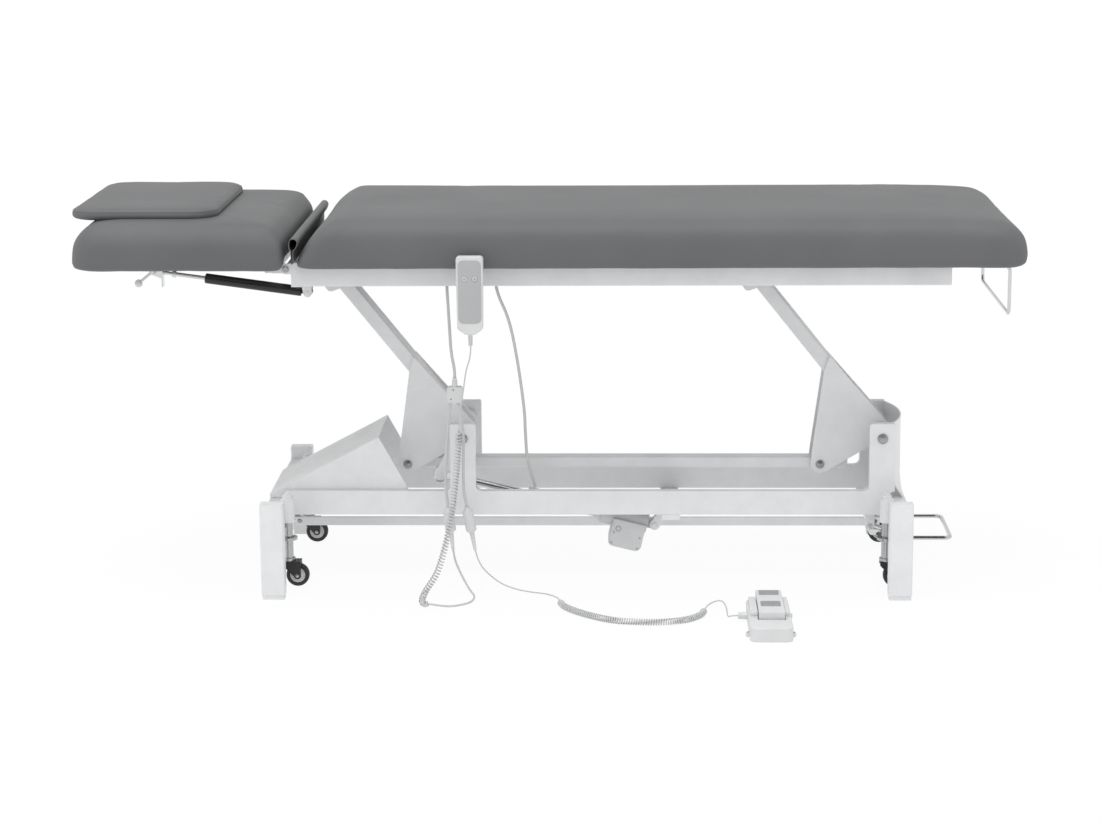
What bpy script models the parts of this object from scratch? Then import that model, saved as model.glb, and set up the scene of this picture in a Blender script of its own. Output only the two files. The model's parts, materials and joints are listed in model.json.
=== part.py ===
"""Electric height-adjustable massage table with a tilting head section.

Everything is laid out about the floor point midway between the four legs: +X runs
to the foot end, +Y away from the side with the handset, +Z up, all in metres.
Each moving piece has its origin on the axis it turns about.
"""
import math

import bmesh
import bpy
from mathutils import Matrix, Vector

# General fits
FIT_GAP = 0.0003
WELD_LAP = 0.002
ROUND_SIDES = 12
FINE_SIDES = 16

# Base: end frames
LEG_SPREAD = 1.326
LEG_LONG = 0.050
LEG_DEEP = 0.030
LEG_HEIGHT = 0.208
LEG_CAP_HEIGHT = 0.004
LEG_CAP_INSET = 0.0006
GLIDE_HEIGHT = 0.010
GLIDE_INSET = 0.0015
TUBE_ROUND = 0.003
BASE_WIDTH = 0.580
BEAM_THICK = 0.035
BEAM_BOTTOM = 0.130
BEAM_TOP = 0.180

# Base: side frames and main pivots
RAIL_BOTTOM = 0.147
RAIL_TOP = 0.199
RAIL_END_DROP = 0.004
RAIL_THICK = 0.020
RAIL_INNER_Y = 0.112
UPRIGHT_WIDE = 0.055
UPRIGHT_TOP = 0.3465
UPRIGHT_FILLET = 0.012
UPRIGHT_TOP_ROUND = 0.004
HEAD_PIVOT_X = -0.2665
FOOT_PIVOT_X = 0.635
PIVOT_Z = 0.3145
PIVOT_SHAFT_RADIUS = 0.008
PIVOT_HEAD_RADIUS = 0.0115
PIVOT_HEAD_THICK = 0.005
PIVOT_TUBE_RADIUS = 0.0165

# Base: curved end wall and crank cover
SHEET = 0.003
WALL_SAGITTA = 0.0235
WALL_FLARE_TOP = 0.215
COVER_SHEET = 0.002
COVER_RIDGE_X = -0.449
COVER_RIDGE_Z = 0.315
COVER_RIGHT_X = -0.386
COVER_END_Z = 0.1885
COVER_HALF_WIDTH = 0.1146

# Base: middle cross bar with the actuator's clevis
MID_BAR_LEFT = 0.162
MID_BAR_RIGHT = 0.202
MID_BAR_THICK = 0.012
CLEVIS_PLATE = 0.004
CLEVIS_RADIUS = 0.011

# Lift arms
ARM_ANGLE = math.radians(128.7)
ARM_LENGTH = 0.4427
ARM_THICK = 0.030
ARM_DEEP = 0.060
UPPER_SHAFT_RADIUS = 0.007
UPPER_BOSS_RADIUS = 0.0165
CRANK_PLATE = 0.006
CRANK_RADIUS = 0.1486
CRANK_ANGLE = math.radians(211.6)
CRANK_TIP_RADIUS = 0.0208
CRANK_TOP_ALONG = 0.1935
CRANK_SHOULDER_ALONG = 0.1785
CRANK_HEEL_RADIUS = 0.1564
CRANK_HEEL_ANGLE = math.radians(201.6)
CRANK_BOSS_RADIUS = 0.0235
TIE_BOLT_RADIUS = 0.006
TIE_BAR_HIGH = 0.024
TIE_BAR_DEEP = 0.038
TIE_BAR_OVERRUN = 0.061

# Actuator
ACTUATOR_Y = -0.072
REAR_PIN_X = 0.147
REAR_PIN_Z = 0.111
ACTUATOR_PIN_RADIUS = 0.005
FRONT_PIN_RADIUS = 0.105
FRONT_PIN_ANGLE = math.radians(240.0)
FRONT_LUG_GAP = 0.0135
FRONT_LUG_PLATE = 0.005
FRONT_LUG_TIP_RADIUS = 0.012
ROD_RADIUS = 0.009
ROD_BORE_RADIUS = 0.0097
ROD_HIDDEN_LENGTH = 0.085
EYE_THICK = 0.010
EYE_RADIUS = 0.017
EYE_NECK_LENGTH = 0.034
EYE_SLOT_PLAY = 0.0057
EYE_SLOT_PLAY_ALONG = 0.0013
TONGUE_THICK = 0.014
TONGUE_RADIUS = 0.010
OUTER_TUBE_RADIUS = 0.0145
OUTER_TUBE_START = 0.085
OUTER_TUBE_END = 0.285
MOUTH_COLLAR_RADIUS = 0.0175
MOUTH_COLLAR_LENGTH = 0.024
GEARBOX_RADIUS = 0.024
GEARBOX_START = 0.016
GEARBOX_END = 0.118
MOTOR_START = 0.0185
MOTOR_END = 0.0915
MOTOR_DROP = 0.062
MOTOR_HALF_WIDTH = 0.035

# Top frame
TOP_RAIL_OUTER_Y = 0.2525
TOP_RAIL_DEEP = 0.028
TOP_RAIL_BOTTOM = 0.667
TOP_RAIL_TOP = 0.717
TOP_RAIL_LEFT = -0.611
TOP_RAIL_RIGHT = 0.7595
RAIL_END_PLATE = 0.022
RAIL_END_PLATE_PROUD = 0.001
CROSS_TUBE_HIGH = 0.030
CROSS_TUBE_LONG = 0.050
END_TUBE_LONG = 0.030
EAR_PLATE = 0.006
EAR_REACH_LEFT = 0.027
EAR_REACH_RIGHT = 0.018
EAR_BOTTOM = 0.6185
EAR_PLAY = 0.001

# Head section hinge and frame
HINGE_X = -0.6227
HINGE_Z = 0.704
HINGE_SHAFT_RADIUS = 0.005
HINGE_HEAD_RADIUS = 0.0072
HINGE_HEAD_THICK = 0.004
HINGE_EAR_RADIUS = 0.0110
HINGE_EAR_THICK = 0.006
HEAD_RAIL_LEFT = -1.000
HEAD_RAIL_RIGHT = -0.642
HEAD_RAIL_OUTER_Y = 0.195
HEAD_RAIL_DEEP = 0.020
HEAD_RAIL_BOTTOM = 0.695
HEAD_TUBE_LONG = 0.025
CHANNEL_TUBE_LEFT = -0.968
CHANNEL_RIGHT = -0.888
CHANNEL_HALF_WIDTH = 0.0185
CHANNEL_PLATE = 0.003
CHANNEL_BOTTOM = 0.6925

# Gas spring and its release
GAS_Y = -0.150
GAS_REAR_X = -0.5887
GAS_REAR_Z = 0.6384
GAS_FRONT_X = -0.918
GAS_FRONT_Z = 0.684
GAS_PIN_RADIUS = 0.004
GAS_EYE_THICK = 0.023
GAS_EYE_RADIUS = 0.008
GAS_BRACKET_PLATE = 0.004
GAS_CYLINDER_RADIUS = 0.011
GAS_CYLINDER_START = 0.014
GAS_CYLINDER_END = 0.2210
GAS_ROD_RADIUS = 0.0045
GAS_BORE_RADIUS = 0.0053
GAS_ROD_HIDDEN = 0.040
GAS_NUT_START = 0.2825
GAS_NUT_END = 0.2910
GAS_NUT_RADIUS = 0.0075
RELEASE_FLANGE_X = -0.896
RELEASE_FLANGE_BOTTOM = 0.6505
RELEASE_FLANGE_HALF_WIDTH = 0.011
RELEASE_PLATE = 0.003
LEVER_KNOB_X = -0.949
LEVER_KNOB_Z = 0.6585
LEVER_KNOB_RADIUS = 0.0085
LEVER_ROD_RADIUS = 0.003
LEVER_HUB_RADIUS = 0.0070
LEVER_HUB_THICK = 0.005

# Cushions
CUSHION_HALF_WIDTH = 0.320
CUSHION_BOTTOM = 0.7174
CUSHION_THICK = 0.0881
CUSHION_EDGE_ROUND = 0.004
MAIN_NOSE_ROUND = 0.005
MAIN_CUSHION_LEFT = -0.607
MAIN_CUSHION_RIGHT = 0.908
MAIN_SLOPE_RUN = 0.066
HEAD_CUSHION_LEFT = -1.060
HEAD_CUSHION_RIGHT = -0.621
HEAD_CUSHION_SINK = 0.003
HEAD_CUSHION_END_DROP = 0.0195
PILLOW_LEFT = -1.085
PILLOW_RIGHT = -0.762
PILLOW_HALF_WIDTH = 0.240
PILLOW_THICK = 0.0259
PILLOW_EDGE_ROUND = 0.008
PILLOW_CORNER = 0.055
GAP_ROLL_RADIUS = 0.0095
GAP_ROLL_X = -0.6005
GAP_ROLL_Z = 0.770
GAP_ROLL_HALF_LENGTH = 0.280
GAP_ROLL_TAIL = 0.003
GAP_ROLL_TAIL_LIFT = 0.003

# Paper roll bar
PAPER_WIRE_RADIUS = 0.004
PAPER_HALF_WIDTH = 0.215
PAPER_SEAT_Z = 0.705
PAPER_SEAT_DEPTH = 0.018
PAPER_DROP_X = 0.884
PAPER_LOW_Z = 0.5995
PAPER_BEND = 0.016

# Control box under the cushion
BOX_LEFT = -0.330
BOX_RIGHT = -0.150
BOX_NEAR_Y = -0.218
BOX_FAR_Y = -0.110
BOX_BOTTOM = 0.669
BOX_TOP = 0.7168
GLAND_RADIUS = 0.0065
GLAND_LENGTH = 0.010

# Handset and its holder
HANDSET_X = -0.2345
HANDSET_TOP = 0.7433
HANDSET_BOTTOM = 0.5808
HANDSET_TOP_WIDTH = 0.0565
HANDSET_LOW_WIDTH = 0.0530
HANDSET_FRONT_Y = -0.345
HANDSET_BACK_Y = -0.323
HANDSET_ROUND = 0.003
HANDSET_BOOT_RADIUS = 0.0050
HANDSET_BOOT_LENGTH = 0.025
BUTTON_RADIUS = 0.0058
BUTTON_SPACING = 0.0215
BUTTON_Z = 0.6975
BUTTON_PROUD = 0.0015
BUTTON_POCKET = 0.0040
BUTTON_THICK = 0.0035
HOOK_WIDE = 0.022
HOOK_SHEET = 0.003
HOOK_Z = 0.700
HOOK_LIP_BOTTOM = 0.668

# Casters and the pedal linkage
CASTER_X = 0.641
CASTER_Y = 0.186
SLEEVE_RADIUS = 0.015
SLEEVE_BOTTOM = 0.145
SLEEVE_TOP = 0.195
SLEEVE_ROOF = 0.005
WASHER_RADIUS = 0.0135
WASHER_THICK = 0.002
NUT_RADIUS = 0.0105
NUT_THICK = 0.007
STUD_RADIUS = 0.0055
STUD_TOP = 0.2095
STEM_RADIUS = 0.0105
STEM_TOP_PLAY = 0.002
COLLAR_RADIUS = 0.020
COLLAR_TOP = 0.112
COLLAR_THICK = 0.006
STEM_FLANGE_RADIUS = 0.0145
STEM_FLANGE_BOTTOM = 0.060
STEM_FLANGE_THICK = 0.006
KINGPIN_RADIUS = 0.004
KINGPIN_HEAD_RADIUS = 0.0065
KINGPIN_HEAD_THICK = 0.003
FORK_PLATE = 0.005
FORK_CHEEK = 0.0025
FORK_HALF_GAP = 0.0118
FORK_BACK = 0.013
FORK_AXLE_RADIUS = 0.008
WHEEL_RADIUS = 0.025
WHEEL_LIFT = 0.003
WHEEL_TRAIL = 0.019
TYRE_HALF_WIDTH = 0.0095
HUB_HALF_WIDTH = 0.0114
HUB_RADIUS = 0.008
AXLE_RADIUS = 0.004
AXLE_HALF_LENGTH = 0.0160
LINK_SHAFT_RADIUS = 0.006
LINK_SHAFT_Z = 0.119
FOOT_SHAFT_X = 0.6110
LIFT_FINGER_Y = 0.1675
LIFT_FINGER_THICK = 0.010
LIFT_FINGER_TIP = 0.005
LINK_PIN_X = 0.6385
LINK_PIN_Z = 0.0862
LINK_PIN_RADIUS = 0.004
LINK_BAR_Y = 0.050
LINK_BAR_THICK = 0.006
LINK_BAR_HIGH = 0.020
LINK_BAR_END = 0.010
LINK_CRANK_THICK = 0.005
LUG_THICK = 0.006
LUG_HALF_WIDE = 0.010
PEDAL_HALF_WIDTH = 0.096
PEDAL_ROD_RADIUS = 0.00475
PEDAL_BEND_X = 0.702
PEDAL_END_X = 0.7895
PEDAL_Z = 0.086
PEDAL_BEND = 0.016

# Foot switch on the floor
SWITCH_LEFT = 0.334
SWITCH_RIGHT = 0.421
SWITCH_FRONT_Y = -0.592
SWITCH_BACK_Y = -0.376
SWITCH_HEIGHT = 0.030
SWITCH_SIDE_HEIGHT = 0.040
SWITCH_CORNER = 0.014
ROCKER_LEFT = 0.354
ROCKER_RIGHT = 0.407
ROCKER_BACK_Y = -0.366
ROCKER_FRONT_Y = -0.530
ROCKER_TOP = 0.046
ROCKER_FLOOR = 0.014
ROCKER_PIVOT_Z = 0.023
ROCKER_PIN_RADIUS = 0.004
ROCKER_SIDE_GAP = 0.0015
SWITCH_EAR_RADIUS = 0.0065
SWITCH_EAR_HEIGHT = 0.008
SWITCH_BOSS_LENGTH = 0.019
SWITCH_BOSS_RADIUS = 0.0085
SWITCH_BOSS_Y = -0.446
SWITCH_BOSS_Z = 0.0130

# Cords
CORD_RADIUS = 0.0032
LEAD_RADIUS = 0.0022
COIL_RADIUS = 0.0075
SPLITTER_X = -0.277
SPLITTER_Y = -0.200
SPLITTER_Z = 0.4265
SPLITTER_SIZE = (0.0345, 0.015, 0.0360)
SPLITTER_COLLAR_RADIUS = 0.0058
SPLITTER_COLLAR_TOP = 0.4640
SOCKET_RADIUS = 0.0115
SOCKET_NECK_RADIUS = 0.0055

# Derived places
LEG_X = LEG_SPREAD / 2
END_FACE_X = LEG_X + LEG_LONG / 2
BEAM_INNER_X = END_FACE_X - BEAM_THICK
LEG_INNER_Y = BASE_WIDTH / 2 - LEG_DEEP
RAIL_OUTER_Y = RAIL_INNER_Y + RAIL_THICK
CROSS_TUBE_BOTTOM = TOP_RAIL_TOP - CROSS_TUBE_HIGH
TOP_RAIL_INNER_Y = TOP_RAIL_OUTER_Y - TOP_RAIL_DEEP
CUSHION_TOP = CUSHION_BOTTOM + CUSHION_THICK
HEAD_CUSHION_TOP = CUSHION_TOP - HEAD_CUSHION_SINK
CENTRE_X = (PILLOW_LEFT + MAIN_CUSHION_RIGHT) / 2
CENTRE_Y = (SWITCH_FRONT_Y + CUSHION_HALF_WIDTH) / 2
LINK_SPAN = LINK_PIN_X + CASTER_X + 0.004
HEAD_SHAFT_X = FOOT_SHAFT_X - LINK_SPAN

WHITE_STEEL = ("white_powder_coat", (0.80, 0.81, 0.82), 0.35, 0.0)
GREY_VINYL = ("grey_vinyl", (0.21, 0.22, 0.23), 0.48, 0.0)
CHROME = ("chrome", (0.75, 0.76, 0.78), 0.15, 1.0)
BLACK_STEEL = ("black_enamel", (0.015, 0.015, 0.016), 0.35, 0.0)
ZINC_STEEL = ("zinc_steel", (0.60, 0.61, 0.62), 0.35, 1.0)
DARK_PLASTIC = ("dark_plastic", (0.05, 0.05, 0.055), 0.5, 0.0)
PALE_PLASTIC = ("pale_plastic", (0.62, 0.63, 0.63), 0.45, 0.0)
TYRE_GREY = ("tyre_grey", (0.16, 0.16, 0.17), 0.6, 0.0)
CORD_GREY = ("cord_grey", (0.42, 0.43, 0.44), 0.5, 0.0)


def polar(centre, radius, angle):
    """Point at a radius and an angle about a centre in the X-Z plane."""
    return (centre[0] + radius * math.cos(angle), centre[1] + radius * math.sin(angle))


def between(start, end, along, across=0.0):
    """Point a distance along the line from start to end, and across to its left."""
    step = (Vector(end) - Vector(start)).normalized()
    side = Vector((-step.y, step.x))
    return tuple(Vector(start) + step * along + side * across)


def arc(centre, radius, start, end, steps):
    """Points along an arc in the X-Z plane, angles in radians."""
    turns = [start + (end - start) * step / steps for step in range(steps + 1)]
    return [polar(centre, radius, turn) for turn in turns]


def rounded(corners, radii, steps=4):
    """Closed outline with its corners rounded by arcs."""
    outline = []
    count = len(corners)
    for index, corner in enumerate(corners):
        radius = radii[index]
        here = Vector(corner)
        if radius == 0:
            outline.append(tuple(here))
            continue
        back = (Vector(corners[index - 1]) - here).normalized()
        ahead = (Vector(corners[(index + 1) % count]) - here).normalized()
        half = back.angle(ahead) / 2
        reach = radius / math.tan(half)
        middle = here + (back + ahead).normalized() * (radius / math.sin(half))
        first = here + back * reach - middle
        last = here + ahead * reach - middle
        sweep = math.pi - 2 * half
        sign = 1 if first.x * last.y - first.y * last.x > 0 else -1
        for step in range(steps + 1):
            turn = sign * sweep * step / steps
            cos_turn, sin_turn = math.cos(turn), math.sin(turn)
            spoke = Vector((first.x * cos_turn - first.y * sin_turn,
                            first.x * sin_turn + first.y * cos_turn))
            outline.append(tuple(middle + spoke))
    return outline


def block(low, high, edge_round=0.0, along=None, segments=2):
    """Box between two corners, with the edges that run along one axis rounded."""
    shape = bmesh.new()
    size = Vector(high) - Vector(low)
    middle = (Vector(high) + Vector(low)) / 2
    place = Matrix.Translation(middle) @ Matrix.Diagonal((*size, 1.0))
    bmesh.ops.create_cube(shape, size=1.0, matrix=place)
    if edge_round:
        edges = list(shape.edges)
        if along is not None:
            edges = [edge for edge in edges if is_along(edge, along)]
        bmesh.ops.bevel(shape, geom=edges, offset=edge_round, segments=segments,
                        profile=0.5, affect='EDGES')
    return shape


def is_along(edge, axis):
    """True when an edge runs along X, Y or Z, given as 0, 1 or 2."""
    run = edge.verts[1].co - edge.verts[0].co
    return abs(run[axis]) > 0.999 * run.length


def plate(outline, low_y, high_y, edge_round=0.0, segments=1):
    """Outline in the X-Z plane extruded between two places along Y."""
    shape = bmesh.new()
    corners = [shape.verts.new((x, low_y, z)) for x, z in outline]
    face = shape.faces.new(corners)
    grown = bmesh.ops.extrude_face_region(shape, geom=[face])
    moved = [item for item in grown["geom"] if isinstance(item, bmesh.types.BMVert)]
    bmesh.ops.translate(shape, verts=moved, vec=(0.0, high_y - low_y, 0.0))
    bmesh.ops.recalc_face_normals(shape, faces=shape.faces)
    if edge_round:
        rim = [edge for edge in shape.edges if not is_along(edge, 1)]
        bmesh.ops.bevel(shape, geom=rim, offset=edge_round, segments=segments,
                        profile=0.5, affect='EDGES')
        bmesh.ops.recalc_face_normals(shape, faces=shape.faces)
    return shape


def rod(start, end, radius, sides=ROUND_SIDES, end_radius=None):
    """Round bar, or a cone, from one point to another."""
    shape = bmesh.new()
    run = Vector(end) - Vector(start)
    turn = run.to_track_quat('Z', 'Y').to_matrix().to_4x4()
    place = Matrix.Translation((Vector(start) + Vector(end)) / 2) @ turn
    tip = radius if end_radius is None else end_radius
    bmesh.ops.create_cone(shape, cap_ends=True, cap_tris=False, segments=sides,
                          radius1=radius, radius2=tip, depth=run.length, matrix=place)
    return shape


def cross_rod(x, z, low_y, high_y, radius, sides=ROUND_SIDES):
    """Round bar along Y."""
    return rod((x, low_y, z), (x, high_y, z), radius, sides)


def turned(profile, start, direction, sides=ROUND_SIDES):
    """Closed solid of revolution from (distance, radius) pairs along a direction."""
    shape = bmesh.new()
    chain = [shape.verts.new((radius, 0.0, distance)) for distance, radius in profile]
    edges = [shape.edges.new(pair) for pair in zip(chain, chain[1:])]
    bmesh.ops.spin(shape, geom=chain + edges, cent=(0, 0, 0), axis=(0, 0, 1),
                   angle=math.tau, steps=sides, use_merge=True)
    bmesh.ops.remove_doubles(shape, verts=shape.verts, dist=0.00001)
    holes = [edge for edge in shape.edges if edge.is_boundary]
    bmesh.ops.holes_fill(shape, edges=holes, sides=0)
    turn = Vector(direction).to_track_quat('Z', 'Y').to_matrix().to_4x4()
    bmesh.ops.transform(shape, matrix=Matrix.Translation(start) @ turn, verts=shape.verts)
    bmesh.ops.recalc_face_normals(shape, faces=shape.faces)
    return shape


def bent_path(corners, bend, steps=4):
    """Route through corner points with each bend rounded to a radius."""
    route = [Vector(corners[0])]
    for before, here, after in zip(corners, corners[1:], corners[2:]):
        here = Vector(here)
        back = (Vector(before) - here).normalized()
        ahead = (Vector(after) - here).normalized()
        half = back.angle(ahead) / 2
        reach = bend / math.tan(half)
        middle = here + (back + ahead).normalized() * (bend / math.sin(half))
        first = here + back * reach - middle
        last = here + ahead * reach - middle
        for step in range(steps + 1):
            spoke = first.normalized().slerp(last.normalized(), step / steps)
            route.append(middle + spoke * bend)
    route.append(Vector(corners[-1]))
    return route


def bent_rod(corners, radius, bend, resolution=2):
    """Round wire bent along corner points, as a closed mesh."""
    wire = tube_curve("wire", bent_path(corners, bend), radius, resolution)
    shape = bmesh.new()
    shape.from_mesh(evaluated_mesh(wire))
    bmesh.ops.remove_doubles(shape, verts=shape.verts, dist=0.00001)
    bmesh.ops.recalc_face_normals(shape, faces=shape.faces)
    bpy.data.objects.remove(wire)
    return shape


def tube_curve(name, points, radius, resolution):
    """Curve object with a round bevel and closed ends through the points."""
    curve = bpy.data.curves.new(name, 'CURVE')
    curve.dimensions = '3D'
    curve.bevel_depth = radius
    curve.bevel_resolution = resolution
    curve.use_fill_caps = True
    spline = curve.splines.new('POLY')
    spline.points.add(len(points) - 1)
    for target, point in zip(spline.points, points):
        target.co = (*point, 1.0)
    obj = bpy.data.objects.new(name, curve)
    bpy.context.collection.objects.link(obj)
    return obj


def evaluated_mesh(obj):
    """Mesh of an object with its modifiers worked out."""
    depsgraph = bpy.context.evaluated_depsgraph_get()
    return bpy.data.meshes.new_from_object(obj.evaluated_get(depsgraph))


def scratch_object(shape):
    """Object that holds one shape while solids are combined."""
    mesh = bpy.data.meshes.new("shape")
    shape.to_mesh(mesh)
    shape.free()
    obj = bpy.data.objects.new("shape", mesh)
    bpy.context.collection.objects.link(obj)
    return obj


def combine(shapes, cuts):
    """One mesh: the union of the shapes, with the cuts taken away."""
    base = scratch_object(shapes[0])
    others = []
    for operation, group in (('UNION', shapes[1:]), ('DIFFERENCE', cuts)):
        for shape in group:
            other = scratch_object(shape)
            step = base.modifiers.new("step", 'BOOLEAN')
            step.solver = 'EXACT'
            step.operation = operation
            step.object = other
            others.append(other)
    mesh = evaluated_mesh(base)
    for used in (base, *others):
        bpy.data.objects.remove(used)
    return mesh


def material(finish):
    """Material of a finish, made once."""
    name, colour, roughness, metallic = finish
    made = bpy.data.materials.get(name)
    if made is None:
        made = bpy.data.materials.new(name)
        made.use_nodes = True
        shader = made.node_tree.nodes["Principled BSDF"]
        shader.inputs["Base Color"].default_value = (*colour, 1.0)
        shader.inputs["Roughness"].default_value = roughness
        shader.inputs["Metallic"].default_value = metallic
    return made


def make(name, finish, shapes, cuts=(), origin=(0.0, 0.0, 0.0)):
    """Named sub-part from shapes and cuts, with its origin on its own axis."""
    mesh = combine(shapes, cuts)
    mesh.name = name
    mesh.transform(Matrix.Translation(-Vector(origin)))
    mesh.materials.clear()
    mesh.materials.append(material(finish))
    mesh.shade_smooth()
    mesh.set_sharp_from_angle(angle=math.radians(35.0))
    obj = bpy.data.objects.new(name, mesh)
    bpy.context.collection.objects.link(obj)
    obj.location = origin
    obj.parent = bpy.data.objects["table"]
    return obj


def smooth_route(points, spacing):
    """Points at an even spacing along a smooth curve through the route's points."""
    route = [Vector(point) for point in points]
    padded = [route[0] * 2 - route[1], *route, route[-1] * 2 - route[-2]]
    dense = []
    for a, b, c, d in zip(padded, padded[1:], padded[2:], padded[3:]):
        for step in range(24):
            dense.append(smooth_point(a, b, c, d, step / 24))
    dense.append(route[-1])
    lengths = [(q - p).length for p, q in zip(dense, dense[1:])]
    count = max(2, round(sum(lengths) / spacing))
    pace = sum(lengths) / count
    found = [dense[0]]
    travelled = 0.0
    for point, length, after in zip(dense, lengths, dense[1:]):
        while len(found) < count and travelled + length >= pace * len(found):
            share = (pace * len(found) - travelled) / length
            found.append(point.lerp(after, share))
        travelled += length
    found.append(dense[-1])
    found.insert(1, dense[0].lerp(dense[1], 0.9))
    found.insert(-1, dense[-1].lerp(dense[-2], 0.9))
    return found


def smooth_point(a, b, c, d, share):
    """Point between b and c on the curve that passes smoothly through all four."""
    linear = (c - a) * 0.5
    square = a - b * 2.5 + c * 2 - d * 0.5
    cube = (b - c) * 1.5 + (d - a) * 0.5
    return b + linear * share + square * share ** 2 + cube * share ** 3


def cord(name, points, radius, finish=CORD_GREY, resolution=2, pitch=3.0):
    """Plain tube along a smooth route."""
    route = smooth_route(points, radius * 2 * pitch)
    obj = tube_curve(name, route, radius, resolution)
    obj.data.materials.append(material(finish))
    obj.parent = bpy.data.objects["table"]
    return obj


def head_pivot():
    return (HEAD_PIVOT_X, PIVOT_Z)


def foot_pivot():
    return (FOOT_PIVOT_X, PIVOT_Z)


def upper_pivot(pivot):
    return polar(pivot, ARM_LENGTH, ARM_ANGLE)


def crank_tip(pivot):
    return polar(pivot, CRANK_RADIUS, CRANK_ANGLE)


def rear_pin():
    return (REAR_PIN_X, REAR_PIN_Z)


def front_pin():
    return polar(head_pivot(), FRONT_PIN_RADIUS, FRONT_PIN_ANGLE)


def leg_shapes(side, end):
    """Square tube leg with a cap on top and a glide below."""
    x = end * LEG_X
    outer = side * BASE_WIDTH / 2
    inner = side * LEG_INNER_Y
    low_y, high_y = min(outer, inner), max(outer, inner)
    left, right = x - LEG_LONG / 2, x + LEG_LONG / 2
    tube_top = LEG_HEIGHT - LEG_CAP_HEIGHT
    tube = block((left, low_y, GLIDE_HEIGHT), (right, high_y, tube_top), TUBE_ROUND, 2, 1)
    cap = block((left + LEG_CAP_INSET, low_y + LEG_CAP_INSET, tube_top - WELD_LAP),
                (right - LEG_CAP_INSET, high_y - LEG_CAP_INSET, LEG_HEIGHT), TUBE_ROUND, 2, 1)
    glide = block((left + GLIDE_INSET, low_y + GLIDE_INSET, 0.0),
                  (right - GLIDE_INSET, high_y - GLIDE_INSET, GLIDE_HEIGHT + WELD_LAP),
                  TUBE_ROUND, 2, 1)
    return [tube, cap, glide]


def sleeve_shapes(side, end):
    """Guide sleeve of a caster stem, with its washer, nut and stud on top."""
    x, y = end * CASTER_X, side * CASTER_Y
    nut_bottom = SLEEVE_TOP + WASHER_THICK
    sleeve = rod((x, y, SLEEVE_BOTTOM), (x, y, SLEEVE_TOP), SLEEVE_RADIUS, FINE_SIDES)
    washer = rod((x, y, SLEEVE_TOP - WELD_LAP), (x, y, nut_bottom), WASHER_RADIUS)
    nut = rod((x, y, nut_bottom - WELD_LAP / 2), (x, y, nut_bottom + NUT_THICK), NUT_RADIUS, 6)
    stud = rod((x, y, nut_bottom), (x, y, STUD_TOP), STUD_RADIUS, 12)
    return [sleeve, washer, nut, stud]


def sleeve_bore(side, end):
    x, y = end * CASTER_X, side * CASTER_Y
    return rod((x, y, SLEEVE_BOTTOM - WELD_LAP), (x, y, SLEEVE_TOP - SLEEVE_ROOF),
               STEM_RADIUS + 2 * FIT_GAP)


def bearing_lug(x, y, top):
    """Hanging plate that carries a linkage shaft."""
    outline = [(x - LUG_HALF_WIDE, top), (x + LUG_HALF_WIDE, top)]
    outline += arc((x, LINK_SHAFT_Z), LUG_HALF_WIDE, 0.0, -math.pi, 8)
    return plate(outline, y - LUG_THICK / 2, y + LUG_THICK / 2)


def shaft_hole(x, y):
    return cross_rod(x, LINK_SHAFT_Z, y - LUG_THICK, y + LUG_THICK,
                     LINK_SHAFT_RADIUS + FIT_GAP)


def end_frame(name, end, extra_shapes=(), extra_cuts=()):
    """Two legs, the beam between them and two caster sleeves."""
    beam_x = sorted((end * BEAM_INNER_X, end * END_FACE_X))
    beam = block((beam_x[0], -LEG_INNER_Y - WELD_LAP, BEAM_BOTTOM),
                 (beam_x[1], LEG_INNER_Y + WELD_LAP, BEAM_TOP), TUBE_ROUND, 1)
    shapes = [beam]
    cuts = []
    for side in (-1, 1):
        shapes += leg_shapes(side, end)
        shapes += sleeve_shapes(side, end)
        cuts.append(sleeve_bore(side, end))
    return make(name, WHITE_STEEL, shapes + list(extra_shapes), cuts + list(extra_cuts))


def end_wall():
    """Curved sheet between the foot uprights, flared at its foot onto the beam."""
    half = RAIL_INNER_Y - FIT_GAP
    chord_x = END_FACE_X - 0.027
    radius = (half ** 2 + WALL_SAGITTA ** 2) / (2 * WALL_SAGITTA)
    swing = math.asin(half / radius)
    shape = bmesh.new()
    start = shape.verts.new((chord_x, -half, UPRIGHT_TOP))
    centre = (chord_x + WALL_SAGITTA - radius, 0.0, UPRIGHT_TOP)
    bmesh.ops.spin(shape, geom=[start], cent=centre, axis=(0, 0, 1), angle=2 * swing, steps=12)
    edges = list(shape.edges)
    for level, flare in ((WALL_FLARE_TOP, 0.0), (BEAM_TOP - WELD_LAP, 1.0)):
        grown = bmesh.ops.extrude_edge_only(shape, edges=edges)["geom"]
        edges = [item for item in grown if isinstance(item, bmesh.types.BMEdge)]
        for vert in (item for item in grown if isinstance(item, bmesh.types.BMVert)):
            vert.co.z = level
            vert.co.x += flare * (END_FACE_X - WELD_LAP - vert.co.x)
    bmesh.ops.recalc_face_normals(shape, faces=shape.faces)
    bmesh.ops.solidify(shape, geom=list(shape.faces), thickness=SHEET)
    bmesh.ops.recalc_face_normals(shape, faces=shape.faces)
    return shape


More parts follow.
